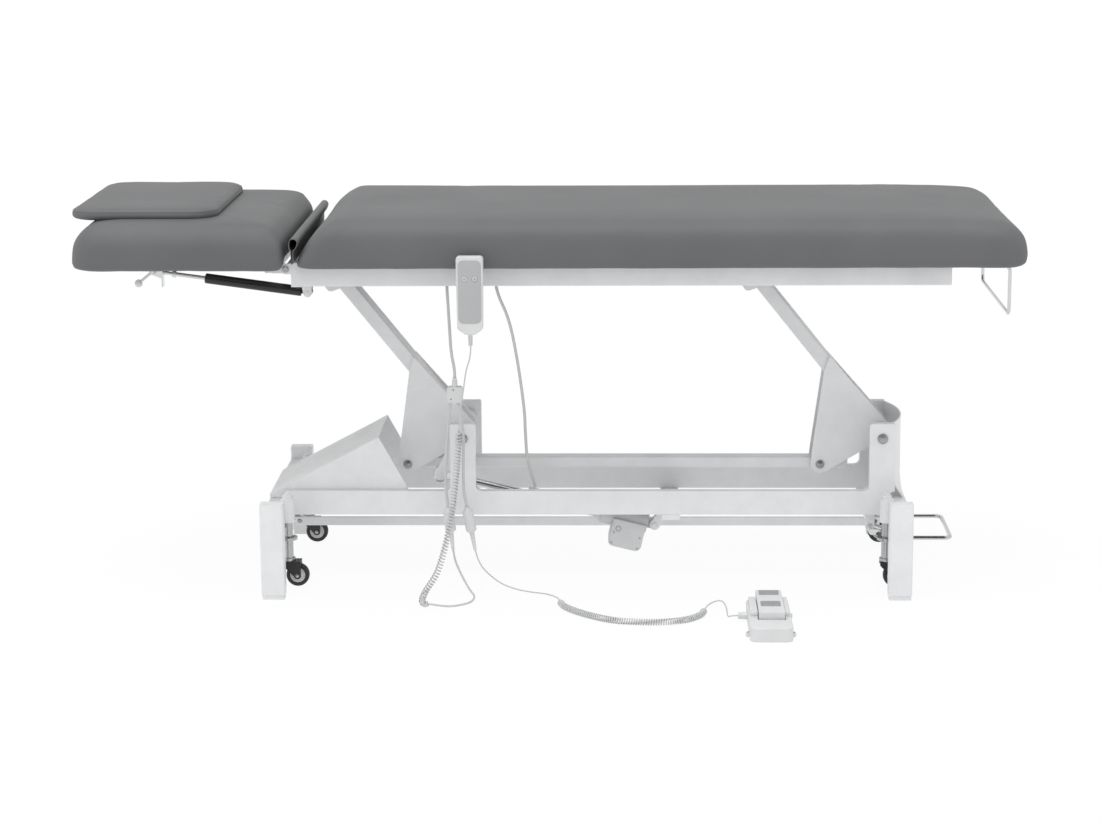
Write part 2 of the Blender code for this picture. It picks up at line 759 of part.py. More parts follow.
def side_frame(name, side):
    """Long rail with the two uprights, their pivot holes and the linkage lugs."""
    rail_end = BEAM_INNER_X - FIT_GAP
    corners = [(-rail_end, RAIL_BOTTOM), (rail_end, RAIL_BOTTOM),
               (rail_end, RAIL_TOP - RAIL_END_DROP)]
    radii = [0, 0, 0]
    for pivot_x, right_fillet in ((FOOT_PIVOT_X, 0), (HEAD_PIVOT_X, UPRIGHT_FILLET)):
        right, left = pivot_x + UPRIGHT_WIDE / 2, pivot_x - UPRIGHT_WIDE / 2
        corners += [(right, RAIL_TOP), (right, UPRIGHT_TOP), (left, UPRIGHT_TOP), (left, RAIL_TOP)]
        radii += [right_fillet, UPRIGHT_TOP_ROUND, UPRIGHT_TOP_ROUND, UPRIGHT_FILLET]
    corners.append((-rail_end, RAIL_TOP))
    radii.append(0)
    low_y, high_y = sorted((side * RAIL_INNER_Y, side * RAIL_OUTER_Y))
    body = plate(rounded(corners, radii, 3), low_y, high_y)
    lug_y = side * (RAIL_INNER_Y + RAIL_THICK / 2)
    lug = bearing_lug(FOOT_SHAFT_X, lug_y, RAIL_BOTTOM + WELD_LAP)
    holes = [cross_rod(x, PIVOT_Z, low_y - WELD_LAP, high_y + WELD_LAP,
                       PIVOT_SHAFT_RADIUS + FIT_GAP) for x in (HEAD_PIVOT_X, FOOT_PIVOT_X)]
    return make(name, WHITE_STEEL, [body, lug], [*holes, shaft_hole(FOOT_SHAFT_X, lug_y)])


def crank_cover():
    """Bent sheet over the head crank: a sloping top with two side skirts."""
    slope = (COVER_RIDGE_Z - COVER_END_Z) / (COVER_RIDGE_X + END_FACE_X)
    drop = COVER_SHEET * math.sqrt(1 + slope ** 2)
    rail_seat = RAIL_TOP + FIT_GAP
    beam_seat = BEAM_TOP + FIT_GAP
    step_x = -BEAM_INNER_X - FIT_GAP
    outline = [(COVER_RIDGE_X, COVER_RIDGE_Z), (-END_FACE_X, COVER_END_Z),
               (-END_FACE_X, beam_seat), (step_x, beam_seat), (step_x, rail_seat),
               (COVER_RIGHT_X, rail_seat)]
    inner_left = -END_FACE_X + COVER_SHEET
    inner_right = COVER_RIGHT_X + 0.05
    hollow = [(x, COVER_END_Z + slope * (x + END_FACE_X) - drop)
              for x in (inner_left, inner_right)]
    hollow += [(inner_right, BEAM_BOTTOM), (inner_left, BEAM_BOTTOM)]
    inner = COVER_HALF_WIDTH - COVER_SHEET
    make("crank_cover", WHITE_STEEL, [plate(outline, -COVER_HALF_WIDTH, COVER_HALF_WIDTH)],
         [plate(hollow, -inner, inner)])


def mid_cross_bar():
    """Flat bar under both rails, with the clevis and pin of the actuator's rear end."""
    top = RAIL_BOTTOM - FIT_GAP
    bottom = top - MID_BAR_THICK
    bar = block((MID_BAR_LEFT, -RAIL_OUTER_Y, bottom), (MID_BAR_RIGHT, RAIL_OUTER_Y, top),
                0.0015, 1)
    shapes = [bar]
    inner = TONGUE_THICK / 2 + 2 * FIT_GAP
    for side in (-1, 1):
        near = ACTUATOR_Y + side * inner
        far = ACTUATOR_Y + side * (inner + CLEVIS_PLATE)
        outline = [(MID_BAR_LEFT + 0.022, bottom + WELD_LAP), (MID_BAR_LEFT, bottom + MID_BAR_THICK)]
        outline += arc(rear_pin(), CLEVIS_RADIUS, math.radians(150), math.radians(330), 8)
        shapes.append(plate(outline, min(near, far), max(near, far)))
    reach = inner + CLEVIS_PLATE + 0.004
    shapes.append(cross_rod(REAR_PIN_X, REAR_PIN_Z, ACTUATOR_Y - reach, ACTUATOR_Y + reach,
                            ACTUATOR_PIN_RADIUS))
    make("mid_cross_bar", WHITE_STEEL, shapes)


def headed_shaft(name, x, z, radius, grip, head_radius, head_thick, finish=ZINC_STEEL,
                 origin=(0.0, 0.0, 0.0)):
    """Shaft across the table with a domed head at each end."""
    inner = grip + FIT_GAP
    outer = inner + head_thick
    profile = [(-outer, 0.0), (-outer, head_radius * 0.75), (-inner - head_thick * 0.35, head_radius),
               (-inner, head_radius), (-inner, radius), (inner, radius), (inner, head_radius),
               (inner + head_thick * 0.35, head_radius), (outer, head_radius * 0.75), (outer, 0.0)]
    return make(name, finish, [turned(profile, (x, 0.0, z), (0, 1, 0))], origin=origin)


def crank_outline(pivot):
    """Gusset from the arm's side down to the rounded tip that carries the tie bolt."""
    upper = upper_pivot(pivot)
    tip = crank_tip(pivot)
    outline = [between(pivot, upper, CRANK_TOP_ALONG, -ARM_THICK / 2),
               between(pivot, upper, CRANK_SHOULDER_ALONG, ARM_THICK * 0.33),
               polar(pivot, CRANK_HEEL_RADIUS, CRANK_HEEL_ANGLE)]
    outline += arc(tip, CRANK_TIP_RADIUS, math.radians(165), math.radians(305), 8)
    outline += arc(pivot, CRANK_BOSS_RADIUS, math.radians(290),
                   ARM_ANGLE - math.pi / 2 + math.tau, 6)
    return outline


def lift_arm(name, pivot, extra_shapes=(), extra_cuts=()):
    """Square tube arm on its pivot tube, with crank plates and the tie bolt."""
    upper = upper_pivot(pivot)
    half = ARM_DEEP / 2
    side = ARM_THICK / 2
    tube = plate([between(pivot, upper, 0.004, -side), between(pivot, upper, ARM_LENGTH - 0.004, -side),
                  between(pivot, upper, ARM_LENGTH - 0.004, side), between(pivot, upper, 0.004, side)],
                 -half, half, 0.002)
    barrel_half = RAIL_INNER_Y - 2 * FIT_GAP
    barrel = cross_rod(*pivot, -barrel_half, barrel_half, PIVOT_TUBE_RADIUS, FINE_SIDES)
    boss_half = half + CRANK_PLATE / 2
    boss = cross_rod(*upper, -boss_half, boss_half, UPPER_BOSS_RADIUS, FINE_SIDES)
    shapes = [tube, barrel, boss]
    for sign in (-1, 1):
        low_y, high_y = sorted((sign * (half - WELD_LAP / 2), sign * (half + CRANK_PLATE)))
        shapes.append(plate(crank_outline(pivot), low_y, high_y))
    bolt_half = half + CRANK_PLATE + 0.004
    shapes.append(cross_rod(*crank_tip(pivot), -bolt_half, bolt_half, TIE_BOLT_RADIUS))
    cuts = [cross_rod(*pivot, -barrel_half - WELD_LAP, barrel_half + WELD_LAP,
                      PIVOT_SHAFT_RADIUS + FIT_GAP),
            cross_rod(*upper, -boss_half - WELD_LAP, boss_half + WELD_LAP,
                      UPPER_SHAFT_RADIUS + FIT_GAP)]
    return make(name, WHITE_STEEL, shapes + list(extra_shapes), cuts + list(extra_cuts),
                origin=(pivot[0], 0.0, pivot[1]))


def front_lugs():
    """Pair of lugs on the head arm's pivot tube that hold the actuator's front pin."""
    pin = front_pin()
    pivot = head_pivot()
    shapes = []
    facing = math.atan2(pin[1] - pivot[1], pin[0] - pivot[0])
    for side in (-1, 1):
        near = ACTUATOR_Y + side * FRONT_LUG_GAP / 2
        far = near + side * FRONT_LUG_PLATE
        outline = arc(pivot, PIVOT_TUBE_RADIUS - FIT_GAP, facing + 1.45, facing + math.tau - 1.45, 6)
        outline += arc(pin, FRONT_LUG_TIP_RADIUS, facing - 1.4, facing + 1.4, 8)
        shapes.append(plate(outline, min(near, far), max(near, far)))
    reach = FRONT_LUG_GAP / 2 + FRONT_LUG_PLATE + 0.003
    shapes.append(cross_rod(*pin, ACTUATOR_Y - reach, ACTUATOR_Y + reach, ACTUATOR_PIN_RADIUS))
    return shapes


def tie_bar():
    """Square tube that joins the two cranks and swings with them."""
    head, foot = crank_tip(head_pivot()), crank_tip(foot_pivot())
    left = head[0] - TIE_BAR_HIGH / 2
    right = foot[0] + TIE_BAR_OVERRUN
    middle = head[1]
    half = TIE_BAR_DEEP / 2
    body = block((left, -half, middle - TIE_BAR_HIGH / 2), (right, half, middle + TIE_BAR_HIGH / 2),
                 TUBE_ROUND, 0)
    holes = [cross_rod(*tip, -half - WELD_LAP, half + WELD_LAP, TIE_BOLT_RADIUS + FIT_GAP)
             for tip in (head, foot)]
    make("tie_bar", WHITE_STEEL, [body], holes, origin=(head[0], 0.0, head[1]))


def along_actuator(along, across=0.0):
    """Point in the X-Z plane on the actuator's axis, measured from the rear pin."""
    return between(rear_pin(), front_pin(), along, across)


def actuator_rod_shape(start, end, radius, sides=ROUND_SIDES):
    a, b = along_actuator(start), along_actuator(end)
    return rod((a[0], ACTUATOR_Y, a[1]), (b[0], ACTUATOR_Y, b[1]), radius, sides)


def actuator_housing():
    """Tongue, gearbox, hanging motor and outer tube, one casting on the rear pin."""
    tongue_end = GEARBOX_START + 0.006
    tongue = plate([along_actuator(0.0, TONGUE_RADIUS)]
                   + arc(rear_pin(), TONGUE_RADIUS, axis_angle() + math.radians(110),
                         axis_angle() + math.radians(250), 6)
                   + [along_actuator(0.0, -TONGUE_RADIUS), along_actuator(tongue_end, -TONGUE_RADIUS),
                      along_actuator(tongue_end, TONGUE_RADIUS)],
                   ACTUATOR_Y - TONGUE_THICK / 2, ACTUATOR_Y + TONGUE_THICK / 2)
    gearbox = actuator_rod_shape(GEARBOX_START, GEARBOX_END, GEARBOX_RADIUS, FINE_SIDES)
    neck = turned([(0, 0), (0, GEARBOX_RADIUS - 0.003), (0.014, OUTER_TUBE_RADIUS + 0.003),
                   (0.014, 0)], to_space(along_actuator(GEARBOX_END - 0.002)), axis_direction())
    corners = [along_actuator(MOTOR_START, 0.0), along_actuator(MOTOR_START, MOTOR_DROP),
               along_actuator(MOTOR_END, MOTOR_DROP), along_actuator(MOTOR_END, 0.0)]
    motor = plate(rounded(corners, [0, 0.012, 0.012, 0], 4), ACTUATOR_Y - MOTOR_HALF_WIDTH,
                  ACTUATOR_Y + MOTOR_HALF_WIDTH, 0.004, 2)
    tube = actuator_rod_shape(OUTER_TUBE_START, OUTER_TUBE_END, OUTER_TUBE_RADIUS, FINE_SIDES)
    collar = actuator_rod_shape(OUTER_TUBE_END - MOUTH_COLLAR_LENGTH, OUTER_TUBE_END,
                                MOUTH_COLLAR_RADIUS, FINE_SIDES)
    bore_end = rod_tail() - 0.075
    cuts = [actuator_rod_shape(bore_end, OUTER_TUBE_END + WELD_LAP, ROD_BORE_RADIUS),
            cross_rod(*rear_pin(), ACTUATOR_Y - TONGUE_THICK, ACTUATOR_Y + TONGUE_THICK,
                      ACTUATOR_PIN_RADIUS + FIT_GAP)]
    make("actuator_housing", DARK_PLASTIC, [gearbox, tongue, neck, motor, tube, collar], cuts,
         origin=(REAR_PIN_X, ACTUATOR_Y, REAR_PIN_Z))


def axis_angle():
    rear, front = rear_pin(), front_pin()
    return math.atan2(front[1] - rear[1], front[0] - rear[0])


def axis_direction():
    return (math.cos(axis_angle()), 0.0, math.sin(axis_angle()))


def to_space(point):
    return (point[0], ACTUATOR_Y, point[1])


def actuator_length():
    return (Vector(front_pin()) - Vector(rear_pin())).length


def rod_tail():
    return OUTER_TUBE_END - ROD_HIDDEN_LENGTH


def actuator_rod():
    """Push rod with a flat slotted eye round the head arm's front pin."""
    length = actuator_length()
    stem = actuator_rod_shape(rod_tail(), length - EYE_NECK_LENGTH, ROD_RADIUS)
    eye_centre = front_pin()
    turn = axis_angle()
    slot_half = EYE_SLOT_PLAY
    centres = [between(eye_centre, polar(eye_centre, 1.0, turn + math.pi / 2), shift)
               for shift in (slot_half, -slot_half)]
    outline = arc(centres[0], EYE_RADIUS - slot_half / 2, turn, turn + math.pi, 8)
    outline += arc(centres[1], EYE_RADIUS - slot_half / 2, turn + math.pi, turn + math.tau, 8)
    eye = plate(outline, ACTUATOR_Y - EYE_THICK / 2, ACTUATOR_Y + EYE_THICK / 2, 0.001)
    neck_start = length - EYE_NECK_LENGTH - WELD_LAP
    neck_end = length - EYE_RADIUS + EYE_SLOT_PLAY
    neck = plate([along_actuator(neck_start, ROD_RADIUS * 0.9), along_actuator(neck_end, ROD_RADIUS * 0.9),
                  along_actuator(neck_end, -ROD_RADIUS * 0.9),
                  along_actuator(neck_start, -ROD_RADIUS * 0.9)],
                 ACTUATOR_Y - EYE_THICK / 2 + FIT_GAP, ACTUATOR_Y + EYE_THICK / 2 - FIT_GAP)
    hole = ACTUATOR_PIN_RADIUS + EYE_SLOT_PLAY_ALONG
    slot = plate(arc(centres[0], hole, turn, turn + math.pi, 8)
                 + arc(centres[1], hole, turn + math.pi, turn + math.tau, 8),
                 ACTUATOR_Y - EYE_THICK, ACTUATOR_Y + EYE_THICK)
    make("actuator_rod", CHROME, [stem, neck, eye], [slot], origin=to_space(eye_centre))


def top_frame():
    """Two long rails, cross tubes, arm ears, hinge ears, spring bracket and handset hook."""
    shapes = []
    cuts = []
    inner = TOP_RAIL_INNER_Y
    for side in (-1, 1):
        low_y, high_y = sorted((side * inner, side * TOP_RAIL_OUTER_Y))
        shapes.append(block((TOP_RAIL_LEFT, low_y, TOP_RAIL_BOTTOM),
                            (TOP_RAIL_RIGHT, high_y, TOP_RAIL_TOP), TUBE_ROUND, 0))
        proud = RAIL_END_PLATE_PROUD
        shapes.append(block((TOP_RAIL_LEFT - proud, low_y, TOP_RAIL_BOTTOM - proud),
                            (TOP_RAIL_LEFT + RAIL_END_PLATE, high_y + max(0, side * proud),
                             TOP_RAIL_TOP)))
        ear_out = TOP_RAIL_OUTER_Y
        ear_in = ear_out - HINGE_EAR_THICK
        outline = [(TOP_RAIL_LEFT + 0.01, HINGE_Z - HINGE_EAR_RADIUS),
                   (TOP_RAIL_LEFT + 0.01, HINGE_Z + HINGE_EAR_RADIUS)]
        outline += arc((HINGE_X, HINGE_Z), HINGE_EAR_RADIUS, math.radians(90),
                       math.radians(270), 8)
        shapes.append(plate(outline, *sorted((side * ear_in, side * ear_out))))
        cuts.append(cross_rod(HINGE_X, HINGE_Z, *sorted((side * (ear_in - WELD_LAP),
                                                         side * (ear_out + WELD_LAP))),
                              HINGE_SHAFT_RADIUS + FIT_GAP))
    reach = inner + WELD_LAP
    tubes = [(TOP_RAIL_LEFT + 0.002, END_TUBE_LONG),
             (TOP_RAIL_RIGHT - 0.0075 - END_TUBE_LONG, END_TUBE_LONG)]
    for pivot in (head_pivot(), foot_pivot()):
        upper = upper_pivot(pivot)
        left = upper[0] - EAR_REACH_LEFT - 0.003
        tubes.append((left, CROSS_TUBE_LONG))
        ear_inner = ARM_DEEP / 2 + CRANK_PLATE / 2 + FIT_GAP
        ears = rounded([(upper[0] - EAR_REACH_LEFT, CROSS_TUBE_BOTTOM + WELD_LAP),
                        (upper[0] - EAR_REACH_LEFT, EAR_BOTTOM + 0.02),
                        (upper[0] - EAR_REACH_LEFT * 0.5, EAR_BOTTOM),
                        (upper[0] + EAR_REACH_RIGHT, EAR_BOTTOM + 0.012),
                        (upper[0] + EAR_REACH_RIGHT, CROSS_TUBE_BOTTOM + WELD_LAP)],
                       [0, 0.008, 0.010, 0.010, 0], 3)
        for side in (-1, 1):
            low_y, high_y = sorted((side * ear_inner, side * (ear_inner + EAR_PLATE)))
            shapes.append(plate(ears, low_y, high_y))
            cuts.append(cross_rod(*upper, low_y - WELD_LAP, high_y + WELD_LAP,
                                  UPPER_SHAFT_RADIUS + FIT_GAP))
    for left, long in tubes:
        shapes.append(block((left, -reach, CROSS_TUBE_BOTTOM), (left + long, reach, TOP_RAIL_TOP)))
    for side in (-1, 1):
        near = GAS_Y + side * (GAS_EYE_THICK / 2 + 2 * FIT_GAP)
        far = near + side * GAS_BRACKET_PLATE
        left = TOP_RAIL_LEFT + 0.004
        outline = [(left + 0.026, CROSS_TUBE_BOTTOM + WELD_LAP), (left, CROSS_TUBE_BOTTOM + WELD_LAP)]
        outline += arc((GAS_REAR_X, GAS_REAR_Z), 0.009, math.radians(190), math.radians(350), 6)
        shapes.append(plate(outline, min(near, far), max(near, far)))
    pin_half = GAS_EYE_THICK / 2 + 2 * FIT_GAP + GAS_BRACKET_PLATE + 0.0025
    shapes.append(cross_rod(GAS_REAR_X, GAS_REAR_Z, GAS_Y - pin_half, GAS_Y + pin_half,
                            GAS_PIN_RADIUS))
    lip_back = HANDSET_BACK_Y + FIT_GAP
    lip_front = lip_back + HOOK_SHEET
    hook_left, hook_right = HANDSET_X - HOOK_WIDE / 2, HANDSET_X + HOOK_WIDE / 2
    shapes.append(block((hook_left, lip_back, HOOK_Z),
                        (hook_right, -TOP_RAIL_OUTER_Y + WELD_LAP, HOOK_Z + HOOK_SHEET)))
    shapes.append(block((hook_left, lip_back, HOOK_LIP_BOTTOM),
                        (hook_right, lip_front, HOOK_Z + HOOK_SHEET / 2)))
    for side in (-1, 1):
        seat_right = TOP_RAIL_RIGHT - 0.0075
        cuts.append(rod((seat_right - PAPER_SEAT_DEPTH, side * PAPER_HALF_WIDTH, PAPER_SEAT_Z),
                        (seat_right + WELD_LAP, side * PAPER_HALF_WIDTH, PAPER_SEAT_Z),
                        PAPER_WIRE_RADIUS + FIT_GAP, 12))
    upper = upper_pivot(head_pivot())
    make("top_frame", WHITE_STEEL, shapes, cuts, origin=(upper[0], 0.0, upper[1]))


def main_cushion():
    low, high = CUSHION_BOTTOM, CUSHION_TOP
    left, right = MAIN_CUSHION_LEFT, MAIN_CUSHION_RIGHT
    corners = [(left, low), (right - 0.024, low), (right, low + 0.020), (right, high - 0.030),
               (right - 0.014, high), (left + MAIN_SLOPE_RUN, high)]
    outline = rounded(corners, [MAIN_NOSE_ROUND, 0.012, 0.016, 0.016, 0.014, 0.030], 3)
    make("main_cushion", GREY_VINYL, [plate(outline, -CUSHION_HALF_WIDTH, CUSHION_HALF_WIDTH,
                                           CUSHION_EDGE_ROUND, 2)])


def head_cushion():
    low, high = CUSHION_BOTTOM, HEAD_CUSHION_TOP
    left, right = HEAD_CUSHION_LEFT, HEAD_CUSHION_RIGHT
    corners = [(left, low), (right, low), (right + 0.009, high - HEAD_CUSHION_END_DROP),
               (right - 0.060, high), (left, high)]
    outline = rounded(corners, [0.034, 0.012, 0.014, 0.050, 0.048], 4)
    make("head_cushion", GREY_VINYL, [plate(outline, -CUSHION_HALF_WIDTH, CUSHION_HALF_WIDTH,
                                           CUSHION_EDGE_ROUND, 2)],
         origin=(HINGE_X, 0.0, HINGE_Z))


def pillow():
    """Thin pillow with cut corners, lying on the head cushion."""
    low = HEAD_CUSHION_TOP + 2 * FIT_GAP
    high = low + PILLOW_THICK
    shape = block((PILLOW_LEFT, -PILLOW_HALF_WIDTH, low), (PILLOW_RIGHT, PILLOW_HALF_WIDTH, high),
                  PILLOW_CORNER, 2, 4)
    rim = [edge for edge in shape.edges if not is_along(edge, 2)]
    bmesh.ops.bevel(shape, geom=rim, offset=PILLOW_EDGE_ROUND, segments=2, profile=0.5,
                    affect='EDGES')
    make("pillow", GREY_VINYL, [shape], origin=(HINGE_X, 0.0, HINGE_Z))


def gap_roll():
    """Vinyl loop between the cushions, a roll on a flat tail."""
    slope = math.atan2(CUSHION_TOP - CUSHION_BOTTOM, MAIN_SLOPE_RUN)
    nose_left = MAIN_CUSHION_LEFT + MAIN_NOSE_ROUND * (1 / math.tan(slope / 2) - 1)
    tail_left = nose_left - FIT_GAP - GAP_ROLL_TAIL
    tail_low = CUSHION_BOTTOM + GAP_ROLL_TAIL_LIFT
    outline = [(tail_left, tail_low), (tail_left + GAP_ROLL_TAIL, tail_low)]
    outline += arc((GAP_ROLL_X, GAP_ROLL_Z), GAP_ROLL_RADIUS, math.radians(-80),
                   math.radians(200), 10)
    make("gap_roll", GREY_VINYL, [plate(outline, -GAP_ROLL_HALF_LENGTH, GAP_ROLL_HALF_LENGTH)])


def control_box():
    """Closed control unit between the rails, with a gland for each cable."""
    body = block((BOX_LEFT, BOX_NEAR_Y, BOX_BOTTOM), (BOX_RIGHT, BOX_FAR_Y, BOX_TOP), 0.005, 2)
    glands = [rod((x, y, BOX_BOTTOM - GLAND_LENGTH), (x, y, BOX_BOTTOM + WELD_LAP), GLAND_RADIUS, 12)
              for x, y in ((CONTROL_CABLE[0][0], CONTROL_CABLE[0][1]),
                           (ACTUATOR_CABLE[0][0], ACTUATOR_CABLE[0][1]))]
    make("control_box", DARK_PLASTIC, [body, *glands])


def paper_roll_bar():
    """Bent wire that carries a paper roll below the foot end."""
    start = TOP_RAIL_RIGHT - 0.0075 - PAPER_SEAT_DEPTH + 0.001
    corners = [(start, -PAPER_HALF_WIDTH, PAPER_SEAT_Z), (PAPER_DROP_X, -PAPER_HALF_WIDTH, PAPER_SEAT_Z),
               (PAPER_DROP_X, -PAPER_HALF_WIDTH, PAPER_LOW_Z),
               (PAPER_DROP_X, PAPER_HALF_WIDTH, PAPER_LOW_Z),
               (PAPER_DROP_X, PAPER_HALF_WIDTH, PAPER_SEAT_Z), (start, PAPER_HALF_WIDTH, PAPER_SEAT_Z)]
    make("paper_roll_bar", CHROME, [bent_rod(corners, PAPER_WIRE_RADIUS, PAPER_BEND)])


def handset():
    """Handset shell with two key pockets, its cord boot, and the two keys."""
    half_top, half_low = HANDSET_TOP_WIDTH / 2, HANDSET_LOW_WIDTH / 2
    corners = [(HANDSET_X - half_low, HANDSET_BOTTOM + 0.012), (HANDSET_X - 0.010, HANDSET_BOTTOM),
               (HANDSET_X + 0.010, HANDSET_BOTTOM), (HANDSET_X + half_low, HANDSET_BOTTOM + 0.012),
               (HANDSET_X + half_top, HANDSET_TOP), (HANDSET_X - half_top, HANDSET_TOP)]
    outline = rounded(corners, [0.008, 0.008, 0.008, 0.008, 0.007, 0.007], 3)
    shell = plate(outline, HANDSET_FRONT_Y, HANDSET_BACK_Y, HANDSET_ROUND, 2)
    middle_y = (HANDSET_FRONT_Y + HANDSET_BACK_Y) / 2
    boot = rod((HANDSET_X, middle_y, HANDSET_BOTTOM + 0.004),
               (HANDSET_X, middle_y, HANDSET_BOTTOM - HANDSET_BOOT_LENGTH),
               HANDSET_BOOT_RADIUS, 12, HANDSET_BOOT_RADIUS * 0.7)
    pockets = []
    for name, side in (("raise_button", -1), ("lower_button", 1)):
        x = HANDSET_X + side * BUTTON_SPACING / 2
        pockets.append(cross_rod(x, BUTTON_Z, HANDSET_FRONT_Y - 0.002, HANDSET_FRONT_Y + BUTTON_POCKET,
                                 BUTTON_RADIUS + FIT_GAP))
        front = HANDSET_FRONT_Y - BUTTON_PROUD
        key = turned([(0, 0), (0, BUTTON_RADIUS - 0.0008), (0.0008, BUTTON_RADIUS),
                      (BUTTON_THICK, BUTTON_RADIUS), (BUTTON_THICK, 0)], (x, front, BUTTON_Z), (0, 1, 0))
        make(name, PALE_PLASTIC, [key], origin=(x, front, BUTTON_Z))
    make("handset_shell", PALE_PLASTIC, [shell, boot], pockets)


def head_frame():
    """Ladder frame of the head section with its hinge ears and spring channel."""
    top = CUSHION_BOTTOM - FIT_GAP
    low = HEAD_RAIL_BOTTOM
    inner = HEAD_RAIL_OUTER_Y - HEAD_RAIL_DEEP
    ear_out = TOP_RAIL_OUTER_Y - HINGE_EAR_THICK - FIT_GAP
    ear_in = ear_out - HINGE_EAR_THICK
    tube_left = HEAD_RAIL_RIGHT - HEAD_TUBE_LONG
    shapes = [block((tube_left, -ear_out, low), (HEAD_RAIL_RIGHT, ear_out, top))]
    cuts = []
    for side in (-1, 1):
        low_y, high_y = sorted((side * inner, side * HEAD_RAIL_OUTER_Y))
        shapes.append(block((HEAD_RAIL_LEFT, low_y, low), (tube_left + WELD_LAP, high_y, top)))
        outline = [(HEAD_RAIL_RIGHT - 0.01, HINGE_Z + HINGE_EAR_RADIUS - 0.001),
                   (HEAD_RAIL_RIGHT - 0.01, HINGE_Z - HINGE_EAR_RADIUS + 0.001)]
        outline += arc((HINGE_X, HINGE_Z), HINGE_EAR_RADIUS - 0.001, math.radians(-90),
                       math.radians(90), 8)
        ear_y = sorted((side * ear_in, side * ear_out))
        shapes.append(plate(outline, *ear_y))
        cuts.append(cross_rod(HINGE_X, HINGE_Z, ear_y[0] - WELD_LAP, ear_y[1] + WELD_LAP,
                              HINGE_SHAFT_RADIUS + FIT_GAP))
    for left in (HEAD_RAIL_LEFT, CHANNEL_TUBE_LEFT):
        shapes.append(block((left, -inner - WELD_LAP, low), (left + HEAD_TUBE_LONG * 0.8,
                                                             inner + WELD_LAP, top)))
    for side in (-1, 1):
        near = GAS_Y + side * CHANNEL_HALF_WIDTH
        far = near + side * CHANNEL_PLATE
        outline = [(CHANNEL_TUBE_LEFT + 0.006, CHANNEL_BOTTOM), (CHANNEL_RIGHT, CHANNEL_BOTTOM),
                   (CHANNEL_RIGHT, top), (CHANNEL_TUBE_LEFT + 0.006, top)]
        shapes.append(plate(outline, min(near, far), max(near, far)))
    make("head_frame", WHITE_STEEL, shapes, cuts, origin=(HINGE_X, 0.0, HINGE_Z))


def gas_rear():
    return (GAS_REAR_X, GAS_REAR_Z)


def gas_front():
    return (GAS_FRONT_X, GAS_FRONT_Z)


def gas_point(along):
    point = between(gas_rear(), gas_front(), along)
    return (point[0], GAS_Y, point[1])


def gas_direction():
    return (Vector(gas_point(1.0)) - Vector(gas_point(0.0))).normalized()


def gas_cylinder():
    """Black pressure tube with a rear eye and an open front bore for the rod."""
    end = GAS_CYLINDER_END
    start = GAS_CYLINDER_START
    radius = GAS_CYLINDER_RADIUS
    profile = [(start, 0), (start, radius - 0.002), (start + 0.002, radius), (end - 0.002, radius),
               (end, radius - 0.003), (end, 0)]
    body = turned(profile, gas_point(0.0), gas_direction())
    eye = cross_rod(GAS_REAR_X, GAS_REAR_Z, GAS_Y - GAS_EYE_THICK / 2, GAS_Y + GAS_EYE_THICK / 2,
                    GAS_EYE_RADIUS)
    neck = rod(gas_point(GAS_EYE_RADIUS * 0.5), gas_point(start + 0.003), 0.005, 12)
    cuts = [rod(gas_point(GAS_CYLINDER_END - GAS_ROD_HIDDEN - 0.066), gas_point(end + 0.002),
                GAS_BORE_RADIUS, 12),
            cross_rod(GAS_REAR_X, GAS_REAR_Z, GAS_Y - GAS_EYE_THICK, GAS_Y + GAS_EYE_THICK,
                      GAS_PIN_RADIUS + FIT_GAP)]
    make("gas_cylinder", BLACK_STEEL, [body, eye, neck], cuts,
         origin=(GAS_REAR_X, GAS_Y, GAS_REAR_Z))


def gas_rod():
    """Rod, stop nut and the release bracket that hangs on its bolt."""
    pin = gas_front()
    stem = rod(gas_point(GAS_CYLINDER_END - GAS_ROD_HIDDEN), gas_point(GAS_NUT_START + WELD_LAP),
               GAS_ROD_RADIUS, 12)
    nut = rod(gas_point(GAS_NUT_START), gas_point(GAS_NUT_END), GAS_NUT_RADIUS, 12)
    flange_along = (Vector((RELEASE_FLANGE_X, pin[1])) - Vector(gas_rear())).length
    thread = rod(gas_point(GAS_NUT_END - WELD_LAP), gas_point(flange_along + 0.002), 0.004, 12)
    flange = block((RELEASE_FLANGE_X - RELEASE_PLATE, GAS_Y - RELEASE_FLANGE_HALF_WIDTH,
                    RELEASE_FLANGE_BOTTOM),
                   (RELEASE_FLANGE_X, GAS_Y + RELEASE_FLANGE_HALF_WIDTH, pin[1] + 0.011))
    web_outline = [(RELEASE_FLANGE_X - RELEASE_PLATE / 2, pin[1] + 0.011),
                   (pin[0] + 0.004, pin[1] + 0.011)]
    web_outline += arc(pin, 0.0085, math.radians(120), math.radians(250), 5)
    web_outline += [(RELEASE_FLANGE_X - 0.008, pin[1] - 0.0145),
                    (RELEASE_FLANGE_X - RELEASE_PLATE / 2, pin[1] - 0.0165)]
    web_y = GAS_Y + RELEASE_PLATE / 2
    web = plate(web_outline, web_y - RELEASE_PLATE, web_y)
    bolt_reach = RELEASE_PLATE / 2 + LEVER_HUB_THICK + 0.004
    bolt = cross_rod(*pin, GAS_Y - bolt_reach, GAS_Y + 0.006, 0.0035, 12)
    make("gas_rod", CHROME, [flange, web, thread, nut, stem, bolt],
         origin=(GAS_FRONT_X, GAS_Y, GAS_FRONT_Z))


